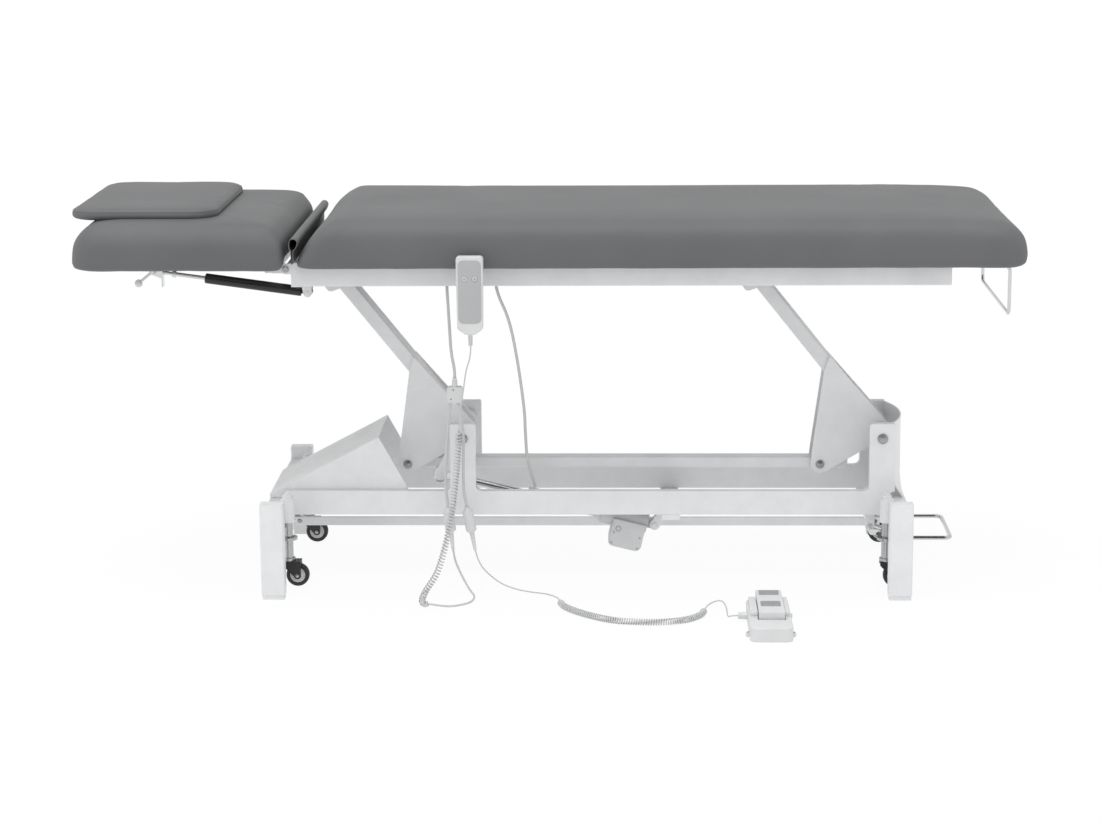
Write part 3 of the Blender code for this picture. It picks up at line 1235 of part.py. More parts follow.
def release_lever():
    """Hand lever on the bracket's bolt: hub, short rod and round knob."""
    pin = gas_front()
    hub_far = GAS_Y - RELEASE_PLATE / 2 - 2 * FIT_GAP
    hub_near = hub_far - LEVER_HUB_THICK
    middle = (hub_far + hub_near) / 2
    hub = cross_rod(*pin, hub_near, hub_far, LEVER_HUB_RADIUS)
    start = between(pin, (LEVER_KNOB_X, LEVER_KNOB_Z), LEVER_HUB_RADIUS * 0.7)
    stick = rod((start[0], middle, start[1]), (LEVER_KNOB_X, middle, LEVER_KNOB_Z),
                LEVER_ROD_RADIUS, 10)
    knob = bmesh.new()
    bmesh.ops.create_uvsphere(knob, u_segments=12, v_segments=8, radius=LEVER_KNOB_RADIUS,
                              matrix=Matrix.Translation((LEVER_KNOB_X, middle, LEVER_KNOB_Z)))
    hole = cross_rod(*pin, hub_near - WELD_LAP, hub_far + WELD_LAP, 0.0035 + FIT_GAP, 12)
    make("release_lever", PALE_PLASTIC, [hub, stick, knob], [hole],
         origin=(GAS_FRONT_X, middle, GAS_FRONT_Z))


def caster(corner_name, side, end):
    """Sliding stem, swivel fork and wheel of one retractable caster."""
    x, y = end * CASTER_X, side * CASTER_Y
    top = SLEEVE_TOP - SLEEVE_ROOF - STEM_TOP_PLAY
    flange_top = STEM_FLANGE_BOTTOM + STEM_FLANGE_THICK
    collar_bottom = COLLAR_TOP - COLLAR_THICK
    plate_top = STEM_FLANGE_BOTTOM - FIT_GAP
    plate_bottom = plate_top - FORK_PLATE
    head_top = plate_bottom - FIT_GAP
    profile = [(top, 0), (top, STEM_RADIUS), (COLLAR_TOP, STEM_RADIUS), (COLLAR_TOP, COLLAR_RADIUS),
               (collar_bottom, COLLAR_RADIUS), (collar_bottom, STEM_RADIUS),
               (flange_top, STEM_RADIUS), (flange_top, STEM_FLANGE_RADIUS),
               (STEM_FLANGE_BOTTOM, STEM_FLANGE_RADIUS), (STEM_FLANGE_BOTTOM, KINGPIN_RADIUS),
               (head_top, KINGPIN_RADIUS), (head_top, KINGPIN_HEAD_RADIUS),
               (head_top - KINGPIN_HEAD_THICK, KINGPIN_HEAD_RADIUS), (head_top - KINGPIN_HEAD_THICK, 0)]
    make("stem_" + corner_name, CHROME, [turned(profile, (x, y, 0), (0, 0, 1))], origin=(x, y, top))
    wheel_x, wheel_z = x + WHEEL_TRAIL, WHEEL_RADIUS + WHEEL_LIFT
    cheek = [(x - FORK_BACK, plate_top), (x + WHEEL_TRAIL + 0.008, plate_top)]
    cheek += arc((wheel_x, wheel_z), FORK_AXLE_RADIUS, math.radians(20), math.radians(-170), 6)
    cheek += [(x - FORK_BACK, plate_bottom - 0.003)]
    shapes = []
    gap_out = FORK_HALF_GAP + FORK_CHEEK
    shapes.append(block((x - FORK_BACK, y - gap_out, plate_bottom),
                        (x + WHEEL_TRAIL + 0.008, y + gap_out, plate_top)))
    for sign in (-1, 1):
        low_y, high_y = sorted((y + sign * FORK_HALF_GAP, y + sign * gap_out))
        shapes.append(plate(cheek, low_y, high_y))
    cuts = [rod((x, y, plate_bottom - 0.002), (x, y, plate_top + 0.002), KINGPIN_RADIUS + FIT_GAP, 12),
            cross_rod(wheel_x, wheel_z, y - gap_out - 0.002, y + gap_out + 0.002,
                      AXLE_RADIUS + FIT_GAP, 12)]
    make("fork_" + corner_name, ZINC_STEEL, shapes, cuts, origin=(x, y, plate_top))
    tread, hub = TYRE_HALF_WIDTH, HUB_HALF_WIDTH
    half = [(AXLE_HALF_LENGTH, 0), (AXLE_HALF_LENGTH, AXLE_RADIUS), (hub, AXLE_RADIUS),
            (hub, HUB_RADIUS), (tread * 0.75, HUB_RADIUS + 0.002), (tread * 0.75, WHEEL_RADIUS - 0.006),
            (tread, WHEEL_RADIUS - 0.004), (tread * 0.6, WHEEL_RADIUS)]
    profile = [(-at, radius) for at, radius in half] + half[::-1]
    make("wheel_" + corner_name, TYRE_GREY,
         [turned(profile, (wheel_x, y, wheel_z), (0, 1, 0), FINE_SIDES)],
         origin=(wheel_x, y, wheel_z))


def lift_fingers(shaft_x):
    """Cross shaft with a finger over each caster collar, and the crank to the link bar."""
    finger_far = LIFT_FINGER_Y + LIFT_FINGER_THICK / 2
    shapes = [cross_rod(shaft_x, LINK_SHAFT_Z, -finger_far, finger_far, LINK_SHAFT_RADIUS)]
    tip_x = math.copysign(CASTER_X, shaft_x)
    tip_z = COLLAR_TOP + FIT_GAP + LIFT_FINGER_TIP
    shaft = (shaft_x, LINK_SHAFT_Z)
    rim = LINK_SHAFT_RADIUS + 0.003
    thin = LINK_SHAFT_RADIUS + FIT_GAP
    outline = arc(shaft, thin, math.radians(85), math.radians(265), 6)
    outline += arc((tip_x, tip_z), LIFT_FINGER_TIP, math.radians(-88), math.radians(85), 4)
    for side in (-1, 1):
        y = side * LIFT_FINGER_Y
        shapes.append(plate(outline, y - LIFT_FINGER_THICK / 2, y + LIFT_FINGER_THICK / 2))
    pin = (shaft_x + LINK_PIN_X - FOOT_SHAFT_X, LINK_PIN_Z)
    crank_near = LINK_BAR_Y + LINK_BAR_THICK / 2 + 2 * FIT_GAP
    facing = math.atan2(pin[1] - shaft[1], pin[0] - shaft[0])
    outline = arc(shaft, rim, facing + math.pi / 2, facing + math.pi * 1.5, 6)
    outline += arc(pin, 0.008, facing - math.pi / 2, facing + math.pi / 2, 6)
    shapes.append(plate(outline, crank_near, crank_near + LINK_CRANK_THICK))
    shapes.append(cross_rod(*pin, LINK_BAR_Y - LINK_BAR_THICK, crank_near + 0.002, LINK_PIN_RADIUS, 12))
    return shapes


def linkage():
    """Pedal, link bar and head lifter that push all four stems down together."""
    shaft = (FOOT_SHAFT_X, LINK_SHAFT_Z)
    corners = []
    for side in (-1, 1):
        y = side * PEDAL_HALF_WIDTH
        run = [(shaft[0], y, shaft[1]), (PEDAL_BEND_X, y, PEDAL_Z), (PEDAL_END_X, y, PEDAL_Z)]
        corners += run if side < 0 else run[::-1]
    loop = bent_rod(corners, PEDAL_ROD_RADIUS, PEDAL_BEND)
    make("pedal_bar", CHROME, [*lift_fingers(FOOT_SHAFT_X), loop], origin=(shaft[0], 0.0, shaft[1]))
    make("head_lifter", ZINC_STEEL, lift_fingers(HEAD_SHAFT_X), origin=(HEAD_SHAFT_X, 0.0, shaft[1]))
    head_pin_x = LINK_PIN_X - LINK_SPAN
    half_high, half_deep = LINK_BAR_HIGH / 2, LINK_BAR_THICK / 2
    bar = block((head_pin_x - LINK_BAR_END, LINK_BAR_Y - half_deep, LINK_PIN_Z - half_high),
                (LINK_PIN_X + LINK_BAR_END, LINK_BAR_Y + half_deep, LINK_PIN_Z + half_high), 0.0015, 0)
    holes = [cross_rod(x, LINK_PIN_Z, LINK_BAR_Y - LINK_BAR_THICK, LINK_BAR_Y + LINK_BAR_THICK,
                       LINK_PIN_RADIUS + FIT_GAP, 12) for x in (head_pin_x, LINK_PIN_X)]
    make("link_bar", WHITE_STEEL, [bar], holes, origin=(LINK_PIN_X, LINK_BAR_Y, LINK_PIN_Z))


def foot_switch():
    """Floor switch: low shell with ears and a cord boss, and a rocking treadle."""
    left, right = SWITCH_LEFT, SWITCH_RIGHT
    front, back = SWITCH_FRONT_Y, SWITCH_BACK_Y
    shell = block((left, front, 0.0), (right, back, SWITCH_HEIGHT), SWITCH_CORNER, 2, 3)
    rim = [edge for edge in shell.edges if not is_along(edge, 2) and edge.verts[0].co.z > 0.01]
    bmesh.ops.bevel(shell, geom=rim, offset=0.004, segments=2, profile=0.5, affect='EDGES')
    shapes = [shell]
    pivot_y = (ROCKER_BACK_Y + ROCKER_FRONT_Y) / 2
    for wall_left, wall_right in ((left + 0.004, ROCKER_LEFT - ROCKER_SIDE_GAP),
                                  (ROCKER_RIGHT + ROCKER_SIDE_GAP, right - 0.004)):
        shapes.append(block((wall_left, ROCKER_FRONT_Y + 0.020, SWITCH_HEIGHT - WELD_LAP),
                            (wall_right, back - 0.020, SWITCH_SIDE_HEIGHT), 0.004, 0))
    for x in (left - 0.001, right + 0.001):
        for y in (SWITCH_BACK_Y - 0.042, SWITCH_FRONT_Y + 0.042):
            shapes.append(rod((x, y, 0.0), (x, y, SWITCH_EAR_HEIGHT), SWITCH_EAR_RADIUS, 12))
    boss_left = left - SWITCH_BOSS_LENGTH
    shapes.append(rod((boss_left, SWITCH_BOSS_Y, SWITCH_BOSS_Z), (left + 0.004, SWITCH_BOSS_Y,
                                                                  SWITCH_BOSS_Z),
                      SWITCH_BOSS_RADIUS * 0.75, 12, SWITCH_BOSS_RADIUS))
    well = block((ROCKER_LEFT - ROCKER_SIDE_GAP, ROCKER_FRONT_Y - 0.003, ROCKER_FLOOR),
                 (ROCKER_RIGHT + ROCKER_SIDE_GAP, back + 0.01, 0.1))
    pin_left, pin_right = ROCKER_LEFT - 0.006, ROCKER_RIGHT + 0.006
    sockets = rod((pin_left - FIT_GAP, pivot_y, ROCKER_PIVOT_Z), (pin_right + FIT_GAP, pivot_y,
                                                                   ROCKER_PIVOT_Z),
                  ROCKER_PIN_RADIUS + FIT_GAP, 12)
    make("foot_switch_shell", PALE_PLASTIC, shapes, [well, sockets])
    half = (ROCKER_BACK_Y - ROCKER_FRONT_Y) / 2
    lowest = ROCKER_FLOOR + 0.0035
    treadle = block((ROCKER_LEFT, ROCKER_FRONT_Y, lowest + 0.006), (ROCKER_RIGHT, ROCKER_BACK_Y,
                                                                    ROCKER_TOP), 0.004, 0)
    keel = block((ROCKER_LEFT + 0.002, pivot_y - half * 0.5, lowest),
                 (ROCKER_RIGHT - 0.002, pivot_y + half * 0.5, lowest + 0.010))
    pin = rod((pin_left, pivot_y, ROCKER_PIVOT_Z), (pin_right, pivot_y, ROCKER_PIVOT_Z),
              ROCKER_PIN_RADIUS, 12)
    make("foot_switch_rocker", PALE_PLASTIC, [treadle, keel, pin],
         origin=((ROCKER_LEFT + ROCKER_RIGHT) / 2, pivot_y, ROCKER_PIVOT_Z))


# Routes of the cords, chosen by hand
GLAND_Z = BOX_BOTTOM - GLAND_LENGTH - FIT_GAP
CONTROL_CABLE = [(-0.291, -0.190, GLAND_Z), (-0.291, -0.190, 0.648), (-0.2895, -0.1905, 0.620),
                 (-0.287, -0.192, 0.570), (-0.284, -0.195, 0.520), (-0.279, -0.199, 0.490),
                 (SPLITTER_X, SPLITTER_Y, 0.475),
                 (SPLITTER_X, SPLITTER_Y, SPLITTER_COLLAR_TOP + FIT_GAP)]
TAIL_LEFT = [(-0.2875, -0.200, 0.4082), (-0.2875, -0.200, 0.400), (-0.290, -0.200, 0.380),
             (-0.295, -0.200, 0.328), (-0.2985, -0.200, 0.270), (-0.2990, -0.200, 0.225),
             (-0.2960, -0.200, 0.1920), (-0.2950, -0.200, 0.1823)]
TAIL_RIGHT = [(-0.2660, -0.200, 0.4082), (-0.2660, -0.200, 0.400), (-0.2635, -0.200, 0.375),
              (-0.260, -0.200, 0.328), (-0.2615, -0.200, 0.262), (-0.2605, -0.200, 0.215),
              (-0.2567, -0.200, 0.1920), (-0.2550, -0.200, 0.1823)]
SOCKET_LEFT = [(-0.2950, -0.200, 0.1820), (-0.2890, -0.200, 0.1240), (-0.2855, -0.200, 0.0850)]
SOCKET_RIGHT = [(-0.2550, -0.200, 0.1820), (-0.2450, -0.200, 0.1240), (-0.2380, -0.200, 0.0850)]
HANDSET_RETURN = [(-0.2853, -0.200, 0.0846), (-0.2800, -0.2020, 0.0600), (-0.2660, -0.215, 0.0320),
                  (-0.2490, -0.238, 0.0090), (-0.2370, -0.272, 0.0032), (-0.2450, -0.318, 0.0030),
                  (-0.2800, -0.345, 0.0030), (-0.3100, -0.3525, 0.0070),
                  (-0.3200, -0.3525, 0.0089), (-0.3255, -0.3525, 0.0090)]
HANDSET_COIL = [(-0.3260, -0.3525, 0.0090), (-0.3340, -0.3520, 0.0092), (-0.3430, -0.3400, 0.0120),
                (-0.3380, -0.3150, 0.0250),
                (-0.3150, -0.2830, 0.0580), (-0.2985, -0.2540, 0.1080), (-0.2860, -0.2340, 0.1700),
                (-0.2780, -0.2280, 0.2300), (-0.2720, -0.2240, 0.2900), (-0.2680, -0.2190, 0.3520)]
HANDSET_LEAD = [(-0.2678, -0.2187, 0.3555), (-0.2640, -0.2250, 0.3950), (-0.2560, -0.2520, 0.4450),
                (-0.2470, -0.2900, 0.4950), (-0.2380, -0.3250, 0.5250), (HANDSET_X, -0.334, 0.5450),
                (HANDSET_X, (HANDSET_FRONT_Y + HANDSET_BACK_Y) / 2,
                 HANDSET_BOTTOM - HANDSET_BOOT_LENGTH - FIT_GAP)]
FOOT_LEAD_IN = [(-0.2377, -0.200, 0.0846), (-0.2310, -0.2030, 0.0640), (-0.2170, -0.2080, 0.0430),
                (-0.1860, -0.2130, 0.0180), (-0.1530, -0.2160, 0.0045), (-0.1200, -0.2350, 0.0030),
                (-0.0830, -0.2530, 0.0030), (-0.0600, -0.2850, 0.0040), (-0.0545, -0.3270, 0.0078)]
FOOT_COIL = [(-0.0540, -0.3310, 0.0082), (-0.0380, -0.3720, 0.0078), (0.0070, -0.4250, 0.0078),
             (0.0660, -0.4650, 0.0078), (0.1440, -0.4760, 0.0078), (0.2020, -0.4620, 0.0078),
             (0.2360, -0.4280, 0.0078), (0.2480, -0.3900, 0.0078)]
FOOT_LEAD_OUT = [(0.24815, -0.38952, 0.0078), (0.2494, -0.3855, 0.0078), (0.2520, -0.3560, 0.0045),
                 (0.2620, -0.3230, 0.0030), (0.2770, -0.3050, 0.0040), (0.2880, -0.3180, 0.0060),
                 (0.2940, -0.3530, 0.0045), (0.2950, -0.4050, 0.0040), (0.2960, -0.4350, 0.0080),
                 (0.3030, -0.4455, 0.0125),
                 (SWITCH_LEFT - SWITCH_BOSS_LENGTH - FIT_GAP, SWITCH_BOSS_Y, SWITCH_BOSS_Z)]
ACTUATOR_CABLE = [(-0.189, -0.150, GLAND_Z), (-0.189, -0.150, 0.648), (-0.183, -0.147, 0.625),
                  (-0.168, -0.135, 0.585), (-0.1570, -0.122, 0.5390), (-0.1450, -0.102, 0.4600),
                  (-0.1350, -0.085, 0.3700), (-0.1330, -0.074, 0.3150), (-0.1300, -0.072, 0.2650),
                  (-0.1220, -0.072, 0.2270), (-0.1120, -0.072, 0.1943)]


def socket(name, route):
    """In-line socket: a round body that narrows to the lead below it."""
    top, middle, low = (Vector(point) for point in route)
    run = (low - top).length
    body = (middle - top).length
    profile = [(0, 0), (0, SOCKET_NECK_RADIUS), (0.003, SOCKET_NECK_RADIUS), (0.010, SOCKET_RADIUS),
               (body - 0.006, SOCKET_RADIUS), (body, SOCKET_NECK_RADIUS), (run, LEAD_RADIUS + 0.001),
               (run, 0)]
    make(name, PALE_PLASTIC, [turned(profile, top, low - top, 12)])


def cords():
    """Free cords with the splitter and the in-line sockets on them."""
    cord("control_cable", CONTROL_CABLE, CORD_RADIUS)
    size = Vector(SPLITTER_SIZE) / 2
    middle = Vector((SPLITTER_X, SPLITTER_Y, SPLITTER_Z))
    body = block(middle - size, middle + size, 0.003)
    collar = rod((SPLITTER_X, SPLITTER_Y, SPLITTER_Z), (SPLITTER_X, SPLITTER_Y, SPLITTER_COLLAR_TOP),
                 SPLITTER_COLLAR_RADIUS, 12)
    make("splitter", PALE_PLASTIC, [body, collar])
    cord("tail_left", TAIL_LEFT, CORD_RADIUS)
    cord("tail_right", TAIL_RIGHT, CORD_RADIUS)
    socket("socket_left", SOCKET_LEFT)
    socket("socket_right", SOCKET_RIGHT)
    cord("handset_return", HANDSET_RETURN, LEAD_RADIUS)
    cord("handset_coil", HANDSET_COIL, COIL_RADIUS, resolution=3, pitch=2.0)
    cord("handset_lead", HANDSET_LEAD, LEAD_RADIUS)
    cord("foot_lead_in", FOOT_LEAD_IN, LEAD_RADIUS)
    cord("foot_coil", FOOT_COIL, COIL_RADIUS, resolution=3, pitch=2.0)
    cord("foot_lead_out", FOOT_LEAD_OUT, LEAD_RADIUS)
    cord("actuator_cable", ACTUATOR_CABLE, CORD_RADIUS)


def build():
    for obj in list(bpy.data.objects):
        bpy.data.objects.remove(obj)
    table = bpy.data.objects.new("table", None)
    bpy.context.collection.objects.link(table)
    table.location = (-CENTRE_X, -CENTRE_Y, 0.0)

    lugs_y = [side * (RAIL_INNER_Y + RAIL_THICK / 2) for side in (-1, 1)]
    end_frame("head_end_frame", -1,
              [bearing_lug(HEAD_SHAFT_X, y, BEAM_BOTTOM + WELD_LAP) for y in lugs_y],
              [shaft_hole(HEAD_SHAFT_X, y) for y in lugs_y])
    end_frame("foot_end_frame", 1, [end_wall()])
    side_frame("side_frame_near", -1)
    side_frame("side_frame_far", 1)
    crank_cover()
    mid_cross_bar()
    headed_shaft("head_pivot_shaft", HEAD_PIVOT_X, PIVOT_Z, PIVOT_SHAFT_RADIUS, RAIL_OUTER_Y,
                 PIVOT_HEAD_RADIUS, PIVOT_HEAD_THICK)
    headed_shaft("foot_pivot_shaft", FOOT_PIVOT_X, PIVOT_Z, PIVOT_SHAFT_RADIUS, RAIL_OUTER_Y,
                 PIVOT_HEAD_RADIUS, PIVOT_HEAD_THICK)

    lift_arm("head_arm", head_pivot(), front_lugs())
    lift_arm("foot_arm", foot_pivot())
    tie_bar()
    actuator_housing()
    actuator_rod()

    top_frame()
    ear_grip = ARM_DEEP / 2 + CRANK_PLATE / 2 + FIT_GAP + EAR_PLATE
    for name, pivot in (("head_upper_shaft", head_pivot()), ("foot_upper_shaft", foot_pivot())):
        upper = upper_pivot(pivot)
        headed_shaft(name, *upper, UPPER_SHAFT_RADIUS, ear_grip, 0.0105, 0.004)
    headed_shaft("head_hinge_shaft", HINGE_X, HINGE_Z, HINGE_SHAFT_RADIUS, TOP_RAIL_OUTER_Y,
                 HINGE_HEAD_RADIUS, HINGE_HEAD_THICK)
    main_cushion()
    gap_roll()
    control_box()
    paper_roll_bar()
    handset()

    head_frame()
    head_cushion()
    pillow()
    gas_cylinder()
    gas_rod()
    release_lever()

    for corner_name, side, end in (("head_near", -1, -1), ("head_far", 1, -1),
                                   ("foot_near", -1, 1), ("foot_far", 1, 1)):
        caster(corner_name, side, end)
    linkage()
    foot_switch()
    cords()


build()
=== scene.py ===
import json
import math

import bmesh
import bpy
from mathutils import Matrix, Vector, noise


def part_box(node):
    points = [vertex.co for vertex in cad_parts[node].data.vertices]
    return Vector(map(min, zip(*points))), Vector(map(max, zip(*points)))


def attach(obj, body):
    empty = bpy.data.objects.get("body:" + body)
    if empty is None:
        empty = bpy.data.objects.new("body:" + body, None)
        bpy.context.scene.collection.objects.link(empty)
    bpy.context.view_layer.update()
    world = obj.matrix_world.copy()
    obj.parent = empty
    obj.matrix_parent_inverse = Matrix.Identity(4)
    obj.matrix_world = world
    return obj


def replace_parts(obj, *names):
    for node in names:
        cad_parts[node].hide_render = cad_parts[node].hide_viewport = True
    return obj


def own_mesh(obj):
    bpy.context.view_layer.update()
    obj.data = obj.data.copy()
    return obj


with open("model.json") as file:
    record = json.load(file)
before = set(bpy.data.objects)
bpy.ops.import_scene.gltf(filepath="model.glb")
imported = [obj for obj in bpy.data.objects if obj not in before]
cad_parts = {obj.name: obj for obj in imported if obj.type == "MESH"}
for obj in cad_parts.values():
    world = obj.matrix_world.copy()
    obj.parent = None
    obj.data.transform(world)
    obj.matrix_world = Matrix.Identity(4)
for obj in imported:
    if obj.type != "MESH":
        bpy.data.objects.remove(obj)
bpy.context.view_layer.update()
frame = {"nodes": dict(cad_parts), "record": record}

# Middle of the four legs on the floor; the cord routes are written about it
HEAD_FRAME_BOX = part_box("head_end_frame")
FOOT_FRAME_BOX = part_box("foot_end_frame")
TABLE_MIDDLE = Vector(((HEAD_FRAME_BOX[0].x + FOOT_FRAME_BOX[1].x) / 2,
                       (HEAD_FRAME_BOX[0].y + HEAD_FRAME_BOX[1].y) / 2, 0.0))

# Camera, solved from the photograph, about the same middle
CAMERA_PLACE = Vector((0.0902, -5.8195, 1.5947))
CAMERA_YAW = math.radians(1.691)
CAMERA_PITCH = math.radians(12.111)
CAMERA_ROLL = -0.0068
FOCAL_PIXELS = 2714.1
PHOTO_WIDTH = 1100

# Light
WORLD_LIGHT = 0.86
SUN_LIGHT = 1.5
SUN_SPREAD = math.radians(50.0)
SUN_TURN = (math.radians(12.0), math.radians(-8.0), 0.0)
FLOOR_GLOW = 0.62
FLOOR_SEEN = 0.31
FLOOR_REACH = 60.0
# Seen in reflections only: the dark side of the room, behind the camera
DIM_SIDE = (0.10, -0.97, 0.22)
DIM_START, DIM_END, DIM_DEPTH = 0.72, 0.97, 0.10

# Cords
CORD_WIDE = 0.0064
LEAD_WIDE = 0.0044
CURL_WIRE = 0.0030
CURL_OUTSIDE = 0.0148
HANDSET_PITCH = 0.0068
FOOT_PITCH = 0.0052
CURL_STEPS = 14

# Soft goods
VINYL_INSET = 0.005
TOP_ROUND = 0.044
LOW_ROUND = 0.009
# Plan corners at the head side and at the foot side
MAIN_CORNERS = (0.020, 0.050)
HEAD_CORNERS = (0.055, 0.018)
# Drop and reach of the dome at all sides, then of the further fall towards the foot side
MAIN_CROWN = (0.006, 0.150, 0.009, 0.300)
HEAD_CROWN = (0.010, 0.140, 0.004, 0.150)
PILLOW_CROWN = (0.003, 0.080, 0.0, 1.0)
MAIN_LIFT = 0.005
MAIN_SLOPE = 0.0555
# How far the covers' ends stand past the solids before they are eased, and how far one leans
MAIN_END_REACH = 0.014
MAIN_END_LEAN = 0.014
HEAD_END_REACH = 0.014
CUSHION_EASED = 4
# What carries each cushion, how far its rim hangs, and whether it hangs at the head side too
SAGS = {"main_cushion": ("top_frame", 0.009, False), "head_cushion": ("head_frame", 0.012, True)}
SAG_CLEAR = 0.006
SAG_REACH = 0.035
PILLOW_ROUND = 0.0075
PILLOW_PLAN_ROUND = 0.055
ROLL_VINYL = 0.0014
ROLL_TAIL_SHIFT = -0.0033
ROLL_DROP = 0.005
ROLL_PAST = 0.020
ROLL_STRETCH = 1.9
SWELL_FRAMES = 20
SWELL_PRESSURE = 4.0

# Crank tip from its pivot, and the bolt's end from the middle plane
CRANK_TIP = (-0.12657, -0.07786)
TIE_BOLT_REACH = 0.0400

# Handset panel, from the shell's middle and top
PANEL_HALF = 0.0238
PANEL_TOP = 0.0075
PANEL_BOTTOM = 0.1385
PANEL_CORNER = 0.0110
KEY_GAP = 0.0004

# Foot switch, about the middle of the legs
EAR_X = (0.333, 0.422)
EAR_Y = (-0.418, -0.550)
EAR_TOP = 0.0076
FOOT_BOSS = (0.315, -0.446, 0.013)

# Motor's rear pin and the way to its cover
MOTOR_PIN = (0.147, -0.072, 0.111)
MOTOR_LINE = (-0.97203, 0.0, 0.23486)

# Edges of the carried-over solids
STEEL_EDGE = 0.0011
SMALL_EDGE = 0.0004
SHARP_ANGLE = math.radians(38.0)


def about_table(x, y, z):
    """Point given about the middle of the legs, in the frame's own place."""
    return TABLE_MIDDLE + Vector((x, y, z))


# Materials
def start_material(name, metallic=0.0):
    made = bpy.data.materials.new(name)
    made.use_nodes = True
    made.node_tree.nodes["Principled BSDF"].inputs["Metallic"].default_value = metallic
    return made


def node(made, kind, **settings):
    """New shader node with its properties set."""
    fresh = made.node_tree.nodes.new(kind)
    for name, value in settings.items():
        setattr(fresh, name, value)
    return fresh


def join(made, source, target):
    made.node_tree.links.new(source, target)


def place_of(made, stretch=(1.0, 1.0, 1.0)):
    """Object coordinates, stretched along the axes."""
    coordinates = node(made, "ShaderNodeTexCoord").outputs["Object"]
    mapping = node(made, "ShaderNodeMapping")
    mapping.inputs["Scale"].default_value = stretch
    join(made, coordinates, mapping.inputs["Vector"])
    return mapping.outputs["Vector"]


def mottle(made, place, scale, detail=3.0, rough=0.55):
    """Cloudy pattern, about 0.3 to 0.7."""
    cloud = node(made, "ShaderNodeTexNoise")
    cloud.inputs["Scale"].default_value = scale
    cloud.inputs["Detail"].default_value = detail
    cloud.inputs["Roughness"].default_value = rough
    join(made, place, cloud.inputs["Vector"])
    return cloud.outputs["Fac"]


def spread(made, value, low, high, from_low=0.3, from_high=0.7):
    """The value carried over to another range."""
    ranged = node(made, "ShaderNodeMapRange")
    for socket, amount in (("From Min", from_low), ("From Max", from_high),
                           ("To Min", low), ("To Max", high)):
        ranged.inputs[socket].default_value = amount
    join(made, value, ranged.inputs["Value"])
    return ranged.outputs["Result"]


def tint(made, value, dark, light):
    """Colour between a dark and a light one."""
    mixed = node(made, "ShaderNodeMix", data_type='RGBA')
    mixed.inputs["A"].default_value = (*dark, 1.0)
    mixed.inputs["B"].default_value = (*light, 1.0)
    join(made, value, mixed.inputs["Factor"])
    return mixed.outputs["Result"]


def relief(made, height, strength, depth, under=None):
    """Bump from a height pattern, laid over another one."""
    bump = node(made, "ShaderNodeBump")
    bump.inputs["Strength"].default_value = strength
    bump.inputs["Distance"].default_value = depth
    join(made, height, bump.inputs["Height"])
    if under is not None:
        join(made, under, bump.inputs["Normal"])
    return bump.outputs["Normal"]


def put_on(made, colour=None, roughness=None, normal=None):
    shader = made.node_tree.nodes["Principled BSDF"]
    for socket, value in (("Base Color", colour), ("Roughness", roughness), ("Normal", normal)):
        if value is not None:
            join(made, value, shader.inputs[socket])
    return made


def vinyl():
    """Upholstery vinyl: fine pebble grain, slow tone drift, soft unevenness of the foam."""
    made = start_material("upholstery_vinyl")
    place = place_of(made)
    pebbles = node(made, "ShaderNodeTexVoronoi", feature='SMOOTH_F1')
    pebbles.inputs["Scale"].default_value = 620.0
    pebbles.inputs["Smoothness"].default_value = 0.7
    join(made, place, pebbles.inputs["Vector"])
    fine = mottle(made, place, 1500.0, 2.0)
    slow = mottle(made, place, 5.0, 3.0)
    wide = mottle(made, place, 9.0, 1.0)
    colour = tint(made, spread(made, slow, 0.0, 1.0), (0.126, 0.128, 0.131), (0.141, 0.143, 0.146))
    rough = spread(made, fine, 0.50, 0.62)
    made.node_tree.nodes["Principled BSDF"].inputs["Specular IOR Level"].default_value = 0.30
    foam = relief(made, wide, 0.35, 0.004)
    grain = relief(made, pebbles.outputs["Distance"], 0.22, 0.00035, foam)
    return put_on(made, colour, rough, relief(made, fine, 0.08, 0.0001, grain))


def powder_coat():
    """White powder coat with orange peel and a trace of dust."""
    made = start_material("white_powder")
    place = place_of(made)
    peel = mottle(made, place, 520.0, 2.0)
    dust = mottle(made, place, 14.0, 5.0, 0.7)
    colour = tint(made, spread(made, dust, 0.0, 1.0, 0.35, 0.75),
                  (0.775, 0.782, 0.790), (0.705, 0.712, 0.720))
    rough = spread(made, dust, 0.30, 0.42)
    return put_on(made, colour, rough, relief(made, peel, 0.12, 0.0002))


def plated(name, colour, roughness, drawn=(1.0, 1.0, 1.0)):
    """Bright metal with faint drawing lines and handling marks."""
    made = start_material(name, 1.0)
    lines = mottle(made, place_of(made, drawn), 260.0, 4.0)
    marks = mottle(made, place_of(made), 30.0, 4.0)
    tone = tint(made, spread(made, marks, 0.0, 1.0), tuple(0.93 * part for part in colour), colour)
    rough = spread(made, marks, roughness * 0.75, roughness * 1.35)
    return put_on(made, tone, rough, relief(made, lines, 0.04, 0.0001))


def moulded(name, colour, roughness, texture=900.0, depth=0.0001, wear=0.06):
    """Moulded plastic with spark-eroded texture and a little wear in its tone."""
    made = start_material(name)
    place = place_of(made)
    spark = mottle(made, place, texture, 2.0)
    slow = mottle(made, place, 22.0, 4.0)
    dark = tuple(part * (1.0 - wear) for part in colour)
    light = tuple(min(1.0, part * (1.0 + wear)) for part in colour)
    tone = tint(made, spread(made, slow, 0.0, 1.0), dark, light)
    rough = spread(made, slow, roughness - 0.06, roughness + 0.06)
    return put_on(made, tone, rough, relief(made, spark, 0.15, depth))


